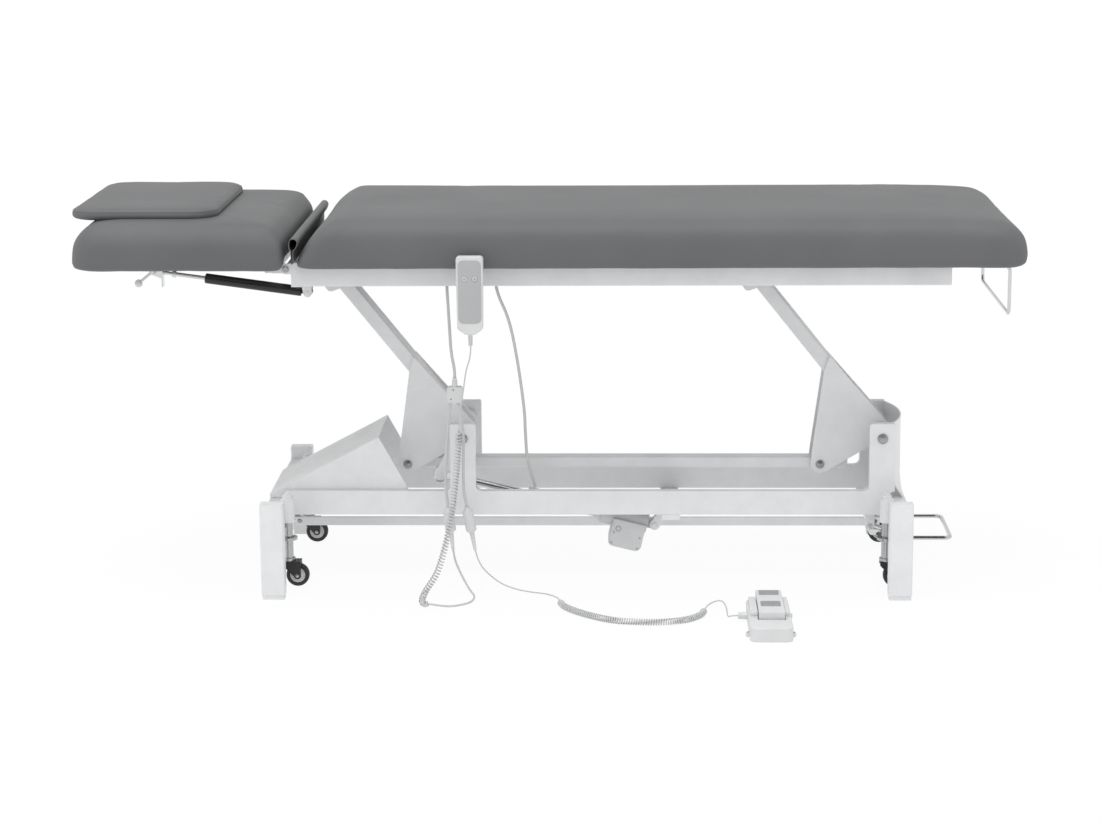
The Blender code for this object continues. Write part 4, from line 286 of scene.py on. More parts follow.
VINYL = vinyl()
WHITE = powder_coat()
CHROME = plated("bright_chrome", (0.66, 0.67, 0.68), 0.12, (1.0, 1.0, 8.0))
ZINC = plated("zinc_plate", (0.42, 0.425, 0.43), 0.30)
STEM = plated("stem_steel", (0.46, 0.465, 0.47), 0.20, (1.0, 1.0, 0.1))
BLACK = moulded("black_enamel", (0.012, 0.012, 0.013), 0.34, 600.0, 0.00005, 0.15)
BOX_GREY = moulded("box_dark_plastic", (0.055, 0.056, 0.060), 0.52)
MOTOR_GREY = moulded("motor_housing_grey", (0.56, 0.565, 0.57), 0.46)
PALE = moulded("pale_shell_plastic", (0.66, 0.665, 0.67), 0.40, 1100.0, 0.00006, 0.03)
KEY_GREY = moulded("key_plastic", (0.55, 0.555, 0.56), 0.44)
PANEL_GREY = moulded("panel_foil_grey", (0.43, 0.435, 0.44), 0.36, 1500.0, 0.00004, 0.02)
PAD_GREY = moulded("pad_rubber_grey", (0.31, 0.315, 0.32), 0.60)
TYRE = moulded("tyre_rubber", (0.022, 0.022, 0.024), 0.62)
RIM = moulded("rim_plastic_grey", (0.56, 0.565, 0.57), 0.42)
CORD = moulded("cord_jacket_grey", (0.56, 0.565, 0.57), 0.42, 500.0, 0.00005, 0.03)
INK = moulded("mark_ink_grey", (0.30, 0.305, 0.31), 0.50)

SLOT_FINISH = {"white_powder_coat": WHITE, "chrome": CHROME, "black_enamel": BLACK,
               "zinc_steel": ZINC, "dark_plastic": BOX_GREY, "pale_plastic": PALE,
               "tyre_grey": TYRE, "cord_grey": CORD, "grey_vinyl": VINYL}
NODE_FINISH = {"actuator_housing": MOTOR_GREY, "raise_button": KEY_GREY, "lower_button": KEY_GREY,
               "fork_head_near": BLACK, "fork_head_far": BLACK, "fork_foot_near": BLACK,
               "fork_foot_far": BLACK, "stem_head_near": STEM, "stem_head_far": STEM,
               "stem_foot_near": STEM, "stem_foot_far": STEM}
SMALL_PARTS = ("chrome", "zinc_steel", "pale_plastic", "black_enamel", "tyre_grey")


# Shared making
def finished(name, shape, material, body):
    """Piece from a bmesh, placed by its vertices, riding on a body, with its material."""
    bmesh.ops.remove_doubles(shape, verts=shape.verts, dist=0.000005)
    bmesh.ops.recalc_face_normals(shape, faces=shape.faces)
    mesh = bpy.data.meshes.new(name)
    shape.to_mesh(mesh)
    shape.free()
    mesh.shade_smooth()
    mesh.set_sharp_from_angle(angle=SHARP_ANGLE)
    mesh.materials.append(material)
    piece = bpy.data.objects.new(name, mesh)
    bpy.context.collection.objects.link(piece)
    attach(piece, body)
    return piece


def turned(profile, start, direction, steps=32):
    """Closed solid of revolution from (distance, radius) pairs along a direction."""
    shape = bmesh.new()
    chain = [shape.verts.new((radius, 0.0, distance)) for distance, radius in profile]
    edges = [shape.edges.new(pair) for pair in zip(chain, chain[1:])]
    bmesh.ops.spin(shape, geom=chain + edges, cent=(0, 0, 0), axis=(0, 0, 1),
                   angle=math.tau, steps=steps, use_merge=True)
    bmesh.ops.remove_doubles(shape, verts=shape.verts, dist=0.000005)
    holes = [edge for edge in shape.edges if edge.is_boundary]
    bmesh.ops.holes_fill(shape, edges=holes, sides=0)
    turn = Vector(direction).to_track_quat('Z', 'Y').to_matrix().to_4x4()
    bmesh.ops.transform(shape, matrix=Matrix.Translation(start) @ turn, verts=shape.verts)
    return shape


def box_shape(low, high, edge=0.0, segments=3):
    """Box between two corners with rounded edges."""
    shape = bmesh.new()
    size = Vector(high) - Vector(low)
    place = Matrix.Translation((Vector(high) + Vector(low)) / 2) @ Matrix.Diagonal((*size, 1.0))
    bmesh.ops.create_cube(shape, size=1.0, matrix=place)
    if edge:
        round_edges(shape, list(shape.edges), edge, segments)
    return shape


def rounded_tablet(low, high, thin_axis, corner, edge, corner_segments=6):
    """Flat tablet: corners rounded in its own plane, then a finer round on its faces."""
    shape = box_shape(low, high)
    round_edges(shape, [side for side in shape.edges if runs_along(side, thin_axis)],
                corner, corner_segments)
    round_edges(shape, [side for side in shape.edges if not runs_along(side, thin_axis)], edge, 2)
    return shape


def round_edges(shape, sides, offset, segments):
    bmesh.ops.bevel(shape, geom=sides, offset=offset, segments=segments, profile=0.5,
                    affect='EDGES', material=-1)


def runs_along(side, axis):
    run = side.verts[1].co - side.verts[0].co
    return abs(run[axis]) > 0.999 * run.length


def add_to(shape, other):
    """Moves the second shape's faces into the first."""
    spare = bpy.data.meshes.new("spare")
    other.to_mesh(spare)
    other.free()
    shape.from_mesh(spare)
    bpy.data.meshes.remove(spare)
    return shape


def evaluated(piece):
    """Mesh of a piece with its modifiers worked out."""
    return bpy.data.meshes.new_from_object(
        piece.evaluated_get(bpy.context.evaluated_depsgraph_get()))


# Carried-over solids
def smooth_by_angle():
    """Modifier group that shades faces smooth and keeps the sharp edges sharp."""
    group = bpy.data.node_groups.new("smooth_by_angle", 'GeometryNodeTree')
    group.interface.new_socket("Geometry", in_out='INPUT', socket_type='NodeSocketGeometry')
    group.interface.new_socket("Geometry", in_out='OUTPUT', socket_type='NodeSocketGeometry')
    nodes, links = group.nodes, group.links
    entry = nodes.new('NodeGroupInput')
    leave = nodes.new('NodeGroupOutput')
    angle = nodes.new('GeometryNodeInputMeshEdgeAngle')
    compare = nodes.new('FunctionNodeCompare')
    compare.data_type = 'FLOAT'
    compare.operation = 'LESS_EQUAL'
    compare.inputs["B"].default_value = SHARP_ANGLE
    edges = nodes.new('GeometryNodeSetShadeSmooth')
    edges.domain = 'EDGE'
    faces = nodes.new('GeometryNodeSetShadeSmooth')
    faces.domain = 'FACE'
    links.new(angle.outputs["Unsigned Angle"], compare.inputs["A"])
    links.new(entry.outputs[0], edges.inputs["Geometry"])
    links.new(compare.outputs["Result"], edges.inputs["Shade Smooth"])
    links.new(edges.outputs["Geometry"], faces.inputs["Geometry"])
    links.new(faces.outputs["Geometry"], leave.inputs[0])
    return group


def dress_solid(solid, material, edge):
    """Own finish and softly rounded edges for a solid of the frame."""
    for place in solid.material_slots:
        place.material = material
    weld = solid.modifiers.new("weld", 'WELD')
    weld.merge_threshold = 0.00001
    flat = solid.modifiers.new("flat", 'DECIMATE')
    flat.decimate_type = 'DISSOLVE'
    flat.angle_limit = math.radians(0.5)
    bevel = solid.modifiers.new("bevel", 'BEVEL')
    bevel.width = edge
    bevel.segments = 2
    bevel.limit_method = 'ANGLE'
    bevel.angle_limit = SHARP_ANGLE
    shade = solid.modifiers.new("shade", 'NODES')
    shade.node_group = SMOOTH_GROUP
    normals = solid.modifiers.new("normals", 'WEIGHTED_NORMAL')
    normals.keep_sharp = True


SMOOTH_GROUP = smooth_by_angle()


def dress_frame():
    slots = {part["node"]: part["material_slot"] for part in frame["record"]["subparts"]}
    for name, solid in frame["nodes"].items():
        slot = slots[name]
        edge = SMALL_EDGE if slot in SMALL_PARTS else STEEL_EDGE
        dress_solid(solid, NODE_FINISH.get(name, SLOT_FINISH[slot]), edge)


# Cord routes, as in the frame's own source, about the middle of the legs
GLAND_Z = 0.6587
CONTROL_CABLE = [(-0.291, -0.190, GLAND_Z), (-0.291, -0.190, 0.648), (-0.2895, -0.1905, 0.620),
                 (-0.287, -0.192, 0.570), (-0.284, -0.195, 0.520), (-0.279, -0.199, 0.490),
                 (-0.277, -0.200, 0.475), (-0.277, -0.200, 0.4643)]
TAIL_LEFT = [(-0.2875, -0.200, 0.4082), (-0.2875, -0.200, 0.400), (-0.290, -0.200, 0.380),
             (-0.295, -0.200, 0.328), (-0.2985, -0.200, 0.270), (-0.2990, -0.200, 0.225),
             (-0.2960, -0.200, 0.1920), (-0.2950, -0.200, 0.1823)]
TAIL_RIGHT = [(-0.2660, -0.200, 0.4082), (-0.2660, -0.200, 0.400), (-0.2635, -0.200, 0.375),
              (-0.260, -0.200, 0.328), (-0.2615, -0.200, 0.262), (-0.2605, -0.200, 0.215),
              (-0.2567, -0.200, 0.1920), (-0.2550, -0.200, 0.1823)]
HANDSET_RETURN = [(-0.2853, -0.200, 0.0846), (-0.2800, -0.2020, 0.0600), (-0.2660, -0.215, 0.0320),
                  (-0.2490, -0.238, 0.0090), (-0.2370, -0.272, 0.0032), (-0.2450, -0.318, 0.0030),
                  (-0.2800, -0.345, 0.0030), (-0.3100, -0.3525, 0.0070),
                  (-0.3200, -0.3525, 0.0089), (-0.3255, -0.3525, 0.0090)]
HANDSET_CURL = [(-0.3260, -0.3525, 0.0090), (-0.3340, -0.3520, 0.0092), (-0.3430, -0.3400, 0.0120),
                (-0.3380, -0.3150, 0.0250), (-0.3150, -0.2830, 0.0580), (-0.2985, -0.2540, 0.1080),
                (-0.2860, -0.2340, 0.1700), (-0.2780, -0.2280, 0.2300), (-0.2720, -0.2240, 0.2900),
                (-0.2680, -0.2190, 0.3520)]
HANDSET_LEAD = [(-0.2678, -0.2187, 0.3555), (-0.2640, -0.2250, 0.3950), (-0.2560, -0.2520, 0.4450),
                (-0.2470, -0.2900, 0.4950), (-0.2380, -0.3250, 0.5250), (-0.2345, -0.334, 0.5450),
                (-0.2345, -0.334, 0.5555)]
FOOT_LEAD_IN = [(-0.2377, -0.200, 0.0846), (-0.2310, -0.2030, 0.0640), (-0.2170, -0.2080, 0.0430),
                (-0.1860, -0.2130, 0.0180), (-0.1530, -0.2160, 0.0045), (-0.1200, -0.2350, 0.0030),
                (-0.0830, -0.2530, 0.0030), (-0.0600, -0.2850, 0.0040), (-0.0545, -0.3270, 0.0078)]
FOOT_CURL = [(-0.0540, -0.3310, 0.0082), (-0.0380, -0.3720, 0.0078), (0.0070, -0.4250, 0.0078),
             (0.0660, -0.4650, 0.0078), (0.1440, -0.4760, 0.0078), (0.2020, -0.4620, 0.0078),
             (0.2360, -0.4280, 0.0078), (0.2480, -0.3900, 0.0078)]
FOOT_LEAD_OUT = [(0.2494, -0.3855, 0.0078), (0.2520, -0.3560, 0.0045), (0.2620, -0.3230, 0.0030),
                 (0.2770, -0.3050, 0.0040), (0.2880, -0.3180, 0.0060), (0.2940, -0.3530, 0.0045),
                 (0.2950, -0.4050, 0.0040), (0.2960, -0.4350, 0.0080), (0.3030, -0.4455, 0.0125),
                 (0.3147, -0.446, 0.0130)]
ACTUATOR_CABLE = [(-0.189, -0.150, GLAND_Z), (-0.189, -0.150, 0.648), (-0.183, -0.147, 0.625),
                  (-0.168, -0.135, 0.585), (-0.1570, -0.122, 0.5390), (-0.1450, -0.102, 0.4600),
                  (-0.1350, -0.085, 0.3700), (-0.1330, -0.074, 0.3150), (-0.1300, -0.072, 0.2650),
                  (-0.1220, -0.072, 0.2270), (-0.1120, -0.072, 0.1943)]


def smooth_line(route, spacing):
    """Points at an even spacing along one smooth curve through the route."""
    line = [about_table(*point) for point in route]
    padded = [line[0] * 2 - line[1], *line, line[-1] * 2 - line[-2]]
    dense = []
    for a, b, c, d in zip(padded, padded[1:], padded[2:], padded[3:]):
        for step in range(24):
            share = step / 24
            dense.append(b + (c - a) * 0.5 * share
                         + (a - b * 2.5 + c * 2 - d * 0.5) * share ** 2
                         + ((b - c) * 1.5 + (d - a) * 0.5) * share ** 3)
    dense.append(line[-1])
    return even_line(dense, spacing)


def even_line(dense, spacing):
    lengths = [(q - p).length for p, q in zip(dense, dense[1:])]
    count = max(2, round(sum(lengths) / spacing))
    pace = sum(lengths) / count
    found = [dense[0]]
    travelled = 0.0
    for point, length, after in zip(dense, lengths, dense[1:]):
        while len(found) < count and travelled + length >= pace * len(found):
            found.append(point.lerp(after, (pace * len(found) - travelled) / length))
        travelled += length
    found.append(dense[-1])
    return found


def curl_line(centre, radius, pitch, steps):
    """Helix wound round a centre line, opening and closing over one turn at each end."""
    line = even_line(centre, pitch / steps)
    side = Vector((0.0, 0.0, 1.0))
    total = len(line) - 1
    wound = []
    for index, point in enumerate(line):
        ahead = (line[min(index + 1, total)] - line[max(index - 1, 0)]).normalized()
        side = (side - ahead * side.dot(ahead)).normalized()
        other = ahead.cross(side)
        opening = min(1.0, index / steps, (total - index) / steps)
        turn = math.tau * index / steps
        wound.append(point + (side * math.cos(turn) + other * math.sin(turn)) * radius * opening)
    return wound


def tube(name, points, width, resolution=3, material=None, closed=False):
    """Round cord along points, as a curve."""
    curve = bpy.data.curves.new(name, 'CURVE')
    curve.dimensions = '3D'
    curve.bevel_depth = width / 2
    curve.bevel_resolution = resolution
    curve.use_fill_caps = True
    spline = curve.splines.new('POLY')
    spline.points.add(len(points) - 1)
    for target, point in zip(spline.points, points):
        target.co = (*point, 1.0)
    spline.use_smooth = True
    spline.use_cyclic_u = closed
    curve.materials.append(material or CORD)
    piece = bpy.data.objects.new(name, curve)
    bpy.context.collection.objects.link(piece)
    return piece


def as_mesh(piece):
    """The curve's tube as a mesh piece of the same name."""
    mesh = evaluated(piece)
    name = piece.name
    bpy.data.objects.remove(piece)
    fresh = bpy.data.objects.new(name, mesh)
    bpy.context.collection.objects.link(fresh)
    mesh.shade_smooth()
    return fresh


def hang(piece):
    """Gives a hanging piece a mesh of its own."""
    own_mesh(piece)


def make_cords():
    splitter, screws = make_splitter()
    hang(splitter)
    hang(screws)

    line = smooth_line(CONTROL_CABLE, 0.008)
    control = as_mesh(tube("control_lead", line, CORD_WIDE))
    declare(control, ["control_cable"])
    hang(control)
    for side, route in (("left", TAIL_LEFT), ("right", TAIL_RIGHT)):
        line = smooth_line(route, 0.008)
        tail = as_mesh(tube("splitter_tail_" + side, line, CORD_WIDE))
        declare(tail, ["tail_" + side])
        hang(tail)

    line = smooth_line(HANDSET_RETURN, 0.006)
    back = tube("handset_lead_floor", line, LEAD_WIDE)
    declare(back, ["handset_return"])
    radius = (CURL_OUTSIDE - CURL_WIRE) / 2
    line = curl_line(smooth_line(HANDSET_CURL, 0.002), radius, HANDSET_PITCH, CURL_STEPS)
    line += smooth_line(HANDSET_LEAD, 0.006)
    curl = as_mesh(tube("handset_curly_lead", line, CURL_WIRE, 2))
    declare(curl, ["handset_coil", "handset_lead"])
    hang(curl)

    line = smooth_line(FOOT_LEAD_IN, 0.006)
    line += curl_line(smooth_line(FOOT_CURL, 0.002), radius, FOOT_PITCH, CURL_STEPS)
    line += smooth_line(FOOT_LEAD_OUT, 0.006)
    foot = tube("foot_switch_curly_lead", line, CURL_WIRE, 2)
    declare(foot, ["foot_lead_in", "foot_coil", "foot_lead_out"])

    line = smooth_line(ACTUATOR_CABLE, 0.010)
    cable = as_mesh(tube("actuator_lead", line, CORD_WIDE))
    declare(cable, ["actuator_cable"])
    hang(cable)


def declare(piece, stands_for):
    """Everything the frame has to know of one cord."""
    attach(piece, "base")
    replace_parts(piece, *stands_for)


def make_splitter():
    """Two-way box on the control lead: chamfered shell, collars and two sunk screws."""
    low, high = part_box("splitter")
    top = high.z - 0.0195
    middle = (low + high) / 2
    shape = rounded_tablet(low, (high.x, high.y, top), 1, 0.0062, 0.0016, 2)
    add_to(shape, turned([(0.0, 0.0), (0.0, 0.0060), (0.0120, 0.0058), (0.0150, 0.0046),
                          (0.0195, 0.0044), (0.0195, 0.0)], (middle.x, middle.y, top - 0.0008),
                         (0, 0, 1)))
    box = finished("splitter_box", shape, PALE, "base")
    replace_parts(box, "splitter")
    screws = bmesh.new()
    for x, z in ((middle.x - 0.003, top - 0.007), (middle.x - 0.008, low.z + 0.009)):
        add_to(screws, turned([(0, 0), (0, 0.0014), (0.0005, 0.0012), (0.0005, 0)],
                              (x, low.y, z), (0, -1, 0), 12))
    return box, finished("splitter_screws", screws, BLACK, "base")


# Soft goods
def prism(outline, low_y, high_y):
    """Outline in the X-Z plane extruded along Y."""
    shape = bmesh.new()
    face = shape.faces.new([shape.verts.new((x, low_y, z)) for x, z in outline])
    grown = bmesh.ops.extrude_face_region(shape, geom=[face])["geom"]
    moved = [item for item in grown if isinstance(item, bmesh.types.BMVert)]
    bmesh.ops.translate(shape, verts=moved, vec=(0.0, high_y - low_y, 0.0))
    bmesh.ops.recalc_face_normals(shape, faces=shape.faces)
    return shape


def even_skin(name, shape, voxel, eased=3):
    """Closed skin of even faces over a shape, eased a number of times."""
    rough = bpy.data.meshes.new(name + "_rough")
    shape.to_mesh(rough)
    shape.free()
    holder = bpy.data.objects.new(name + "_rough", rough)
    bpy.context.collection.objects.link(holder)
    remesh = holder.modifiers.new("remesh", 'REMESH')
    remesh.mode = 'VOXEL'
    remesh.voxel_size = voxel
    skin = evaluated(holder)
    bpy.data.objects.remove(holder)
    ease(skin, eased)
    piece = bpy.data.objects.new(name, skin)
    bpy.context.collection.objects.link(piece)
    return piece


def ease(mesh, times):
    """Evens out a mesh by moving each point towards its neighbours."""
    even = bmesh.new()
    even.from_mesh(mesh)
    for _ in range(times):
        bmesh.ops.smooth_vert(even, verts=even.verts, factor=0.5, use_axis_x=True,
                              use_axis_y=True, use_axis_z=True)
    even.to_mesh(mesh)
    even.free()


def add_swelling(piece):
    """Cloth under a little pressure, with no gravity."""
    cloth = piece.modifiers.new("swell", 'CLOTH')
    settings = cloth.settings
    settings.quality = 4
    settings.mass = 0.3
    settings.tension_stiffness = 18.0
    settings.compression_stiffness = 18.0
    settings.shear_stiffness = 8.0
    settings.bending_stiffness = 1.5
    settings.use_pressure = True
    settings.uniform_pressure_force = SWELL_PRESSURE
    settings.effector_weights.gravity = 0.0
    cloth.collision_settings.use_collision = False
    cloth.collision_settings.use_self_collision = False
    cloth.point_cache.frame_start = 1
    cloth.point_cache.frame_end = SWELL_FRAMES


def swell(cushions):
    """Blows the cushions up a little, each point by no more than its cap, then keeps the result."""
    for piece, _, _, _ in cushions:
        add_swelling(piece)
    for step in range(1, SWELL_FRAMES + 1):
        bpy.context.scene.frame_set(step)
    for piece, stands_for, cap, crown in cushions:
        rest = [vert.co.copy() for vert in piece.data.vertices]
        blown = evaluated(piece)
        piece.modifiers.clear()
        for vert, start in zip(blown.vertices, rest):
            move = vert.co - start
            if move.length > cap:
                move *= cap / move.length
            ripple = noise.noise(start * 11.0) * 0.0008 + noise.noise(start * 31.0) * 0.0002
            vert.co = start + move + vert.normal * ripple
        settle(blown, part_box(stands_for), crown)
        if stands_for in SAGS:
            sag(blown, stands_for)
        piece.data = blown
        blown.shade_smooth()
        blown.materials.clear()
        blown.materials.append(VINYL)
        finer = piece.modifiers.new("finer", 'SUBSURF')
        finer.levels = 1
        finer.render_levels = 1
    bpy.context.scene.frame_set(1)


def settle(mesh, box, crown):
    """Domes a cushion towards its middle and keeps its underside flat."""
    low, high = box
    drop, reach, foot_drop, foot_reach = crown
    for vert in mesh.vertices:
        inward = min(vert.co.x - low.x, high.x - vert.co.x, vert.co.y - low.y, high.y - vert.co.y)
        away = max(0.0, 1.0 - max(0.0, inward) / reach)
        raised = max(0.0, vert.co.z - low.z) / (high.z - low.z)
        to_foot = max(0.0, 1.0 - max(0.0, high.x - vert.co.x) / foot_reach)
        fall = drop * away * away + foot_drop * to_foot * to_foot
        vert.co.z = max(low.z, vert.co.z - fall * raised)


def sag(mesh, stands_for):
    """Lets a cushion's rim hang past the frame that carries it."""
    carrier, drop, at_head = SAGS[stands_for]
    low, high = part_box(stands_for)
    frame_low, frame_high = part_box(carrier)
    half = frame_high.y - TABLE_MIDDLE.y
    for vert in mesh.vertices:
        out = abs(vert.co.y - TABLE_MIDDLE.y) - half
        if at_head:
            out = max(out, frame_low.x - vert.co.x)
        share = min(1.0, max(0.0, (out - SAG_CLEAR) / SAG_REACH))
        raised = min(1.0, max(0.0, (vert.co.z - low.z) / (high.z - low.z)))
        vert.co.z -= drop * share * share * (3.0 - 2.0 * share) * (1.0 - raised)


def cushion(name, outline, low_y, high_y, corners, voxel):
    """Padded block: plan corners, then a wide round at the top and a tighter one below."""
    shape = prism(outline, low_y, high_y)
    bottom = min(z for _, z in outline)
    top = max(z for _, z in outline)
    middle = sum(x for x, _ in outline) / len(outline)
    for at_left, size in ((True, corners[0]), (False, corners[1])):
        upright = [side for side in shape.edges
                   if abs(side.verts[0].co.z - side.verts[1].co.z) > 0.5 * (top - bottom)
                   and (side.verts[0].co.x < middle) == at_left
                   and min(abs(side.verts[0].co.y - low_y), abs(side.verts[0].co.y - high_y)) < 0.0001]
        round_edges(shape, upright, size, 8)
    for level, size in ((top, TOP_ROUND), (bottom, LOW_ROUND)):
        rim = [side for side in shape.edges
               if all(abs(vert.co.z - level) < 0.0001 for vert in side.verts)]
        round_edges(shape, rim, size, 7)
    return even_skin(name, shape, voxel, CUSHION_EASED)


def main_cushion():
    low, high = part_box("main_cushion")
    outline = [(low.x - 0.005, low.z + 0.001), (high.x + MAIN_END_REACH, low.z + 0.001),
               (high.x + MAIN_END_REACH - MAIN_END_LEAN, high.z + MAIN_LIFT),
               (low.x + MAIN_SLOPE, high.z + MAIN_LIFT)]
    return cushion("main_cushion_cover", outline, low.y + VINYL_INSET, high.y - VINYL_INSET,
                   MAIN_CORNERS, 0.010), "main_cushion", 0.0062, MAIN_CROWN


def head_cushion():
    low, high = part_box("head_cushion")
    outline = [(low.x - HEAD_END_REACH, low.z + 0.001), (high.x - 0.004, low.z + 0.001),
               (high.x - 0.006, high.z), (low.x - HEAD_END_REACH + 0.008, high.z)]
    return cushion("head_cushion_cover", outline, low.y + VINYL_INSET, high.y - VINYL_INSET,
                   HEAD_CORNERS, 0.008), "head_cushion", 0.0060, HEAD_CROWN


def pillow():
    low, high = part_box("pillow")
    inset = 0.003
    shape = rounded_tablet((low.x + inset, low.y + inset, low.z + 0.0006),
                           (high.x - inset, high.y - inset, high.z - inset), 2,
                           PILLOW_PLAN_ROUND, PILLOW_ROUND)
    return even_skin("pillow_cover", shape, 0.0048), "pillow", 0.0036, PILLOW_CROWN


def seam_round(piece, level):
    """Stitched welt that follows a cover's side at one height."""
    shape = bmesh.new()
    shape.from_mesh(evaluated(piece))
    bmesh.ops.bisect_plane(shape, geom=shape.verts[:] + shape.edges[:] + shape.faces[:],
                           plane_co=(0.0, 0.0, level), plane_no=(0.0, 0.0, 1.0),
                           clear_inner=True, clear_outer=True)
    shape.verts.ensure_lookup_table()
    walk = [shape.verts[0]]
    while True:
        near = [side.other_vert(walk[-1]) for side in walk[-1].link_edges]
        fresh = [vert for vert in near if vert not in walk[-2:] and vert is not walk[0]]
        if not fresh or len(walk) > len(shape.verts):
            break
        walk.append(fresh[0])
    points = [vert.co.copy() for vert in walk]
    shape.free()
    count = len(points)
    eased = [sum((points[(index + step) % count] for step in range(-3, 4)), Vector()) / 7
             for index in range(count)]
    welt = as_mesh(tube(piece.name + "_welt", even_line(eased + eased[:1], 0.004)[:-1], 0.0022,
                        material=VINYL, closed=True))
    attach(welt, "head_section")


def gap_roll():
    """Strip of vinyl folded over into an open loop that fills the gap between the cushions."""
    low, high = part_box("gap_roll")
    radius = (high.x - low.x) / 2 - ROLL_VINYL / 2
    centre_x = (high.x + low.x) / 2
    centre_z = high.z - ROLL_DROP - radius - ROLL_VINYL / 2
    near, far = low.y - ROLL_PAST, high.y + ROLL_PAST
    tail_x = centre_x + ROLL_TAIL_SHIFT
    line = [(tail_x - 0.0011, low.z + ROLL_VINYL / 2)]
    for step in range(29):
        turn = math.radians(256.0 - 332.0 * step / 28)
        drop = ROLL_STRETCH if math.sin(turn) < 0 else 1.0
        line.append((centre_x + radius * math.cos(turn) + ROLL_TAIL_SHIFT * max(0.0, -math.sin(turn)),
                     centre_z + radius * math.sin(turn) * drop))
    line.append((tail_x + 0.0011, low.z + ROLL_VINYL / 2))
    shape = bmesh.new()
    chain = [shape.verts.new((x, near, z)) for x, z in line]
    edges = [shape.edges.new(pair) for pair in zip(chain, chain[1:])]
    rows = 40
    for row in range(rows):
        grown = bmesh.ops.extrude_edge_only(shape, edges=edges)["geom"]
        edges = [item for item in grown if isinstance(item, bmesh.types.BMEdge)]
        moved = [item for item in grown if isinstance(item, bmesh.types.BMVert)]
        bmesh.ops.translate(shape, verts=moved, vec=(0.0, (far - near) / rows, 0.0))
    for vert in shape.verts:
        vert.co.x += noise.noise(vert.co * 14.0) * 0.0006
    piece = finished("gap_roll_strip", shape, VINYL, "table_top")
    wall = piece.modifiers.new("wall", 'SOLIDIFY')
    wall.thickness = ROLL_VINYL
    wall.offset = 0.0
    piece.data = evaluated(piece)
    piece.modifiers.clear()
    piece.data.shade_smooth()
    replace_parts(piece, "gap_roll")
    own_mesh(piece)


def make_soft_goods():
    main, head, top = main_cushion(), head_cushion(), pillow()
    swell([main, head, top])
    for (piece, stands_for, _, _), body, fill in ((main, "table_top", 0.95),
                                                  (head, "head_section", 0.95),
                                                  (top, "head_section", 0.85)):
        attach(piece, body)
        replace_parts(piece, stands_for)
    seam_low, seam_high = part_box("pillow")
    seam_round(top[0], seam_low.z + 0.66 * (seam_high.z - seam_low.z))
    gap_roll()


# Handset
def handset_details():
    low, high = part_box("handset_shell")
    middle = (low.x + high.x) / 2
    front = low.y
    panel = rounded_tablet((middle - PANEL_HALF, front - 0.0006, high.z - PANEL_BOTTOM),
                           (middle + PANEL_HALF, front + 0.0010, high.z - PANEL_TOP),
                           1, PANEL_CORNER, 0.0002)
    cut_keys(finished("handset_panel", panel, PANEL_GREY, "table_top"))
    for name, body, tip in (("raise_button", "raise_key", 1), ("lower_button", "lower_key", -1)):
        key_low, key_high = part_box(name)
        centre = (key_low + key_high) / 2
        shape = bmesh.new()
        bmesh.ops.create_cone(shape, cap_ends=True, segments=3, radius1=0.0030, radius2=0.0027,
                              depth=0.0006)
        turn = Matrix.Rotation(math.pi / 2, 4, 'X') @ Matrix.Rotation(math.pi / 2 * tip, 4, 'Z')
        bmesh.ops.transform(shape, matrix=Matrix.Translation((centre.x, key_low.y - 0.0001, centre.z))
                            @ turn, verts=shape.verts)
        finished("arrow_" + name, shape, INK, body)
    ribs = bmesh.new()
    for step in range(5):
        level = low.z + 0.0035 + step * 0.0038
        add_to(ribs, turned([(0, 0.0034), (0.0004, 0.0048), (0.0014, 0.0048), (0.0018, 0.0034)],
                            (middle, (low.y + high.y) / 2, level), (0, 0, 1), 24))
    finished("handset_boot_ribs", ribs, CORD, "table_top")


def cut_keys(sheet):
    """Opens the panel round the two keys."""
    tools = []
    for name in ("raise_button", "lower_button"):
        low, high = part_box(name)
        centre = (low + high) / 2
        reach = (high.x - low.x) / 2 + KEY_GAP
        shape = turned([(-0.01, 0), (-0.01, reach), (0.01, reach), (0.01, 0)], centre, (0, 1, 0))
        mesh = bpy.data.meshes.new("hole")
        bmesh.ops.recalc_face_normals(shape, faces=shape.faces)
        shape.to_mesh(mesh)
        shape.free()
        tool = bpy.data.objects.new("hole", mesh)
        bpy.context.collection.objects.link(tool)
        cut = sheet.modifiers.new("cut", 'BOOLEAN')
        cut.object = tool
        cut.solver = 'EXACT'
        tools.append(tool)
    sheet.data = evaluated(sheet)
    sheet.modifiers.clear()
    for tool in tools:
        bpy.data.objects.remove(tool)


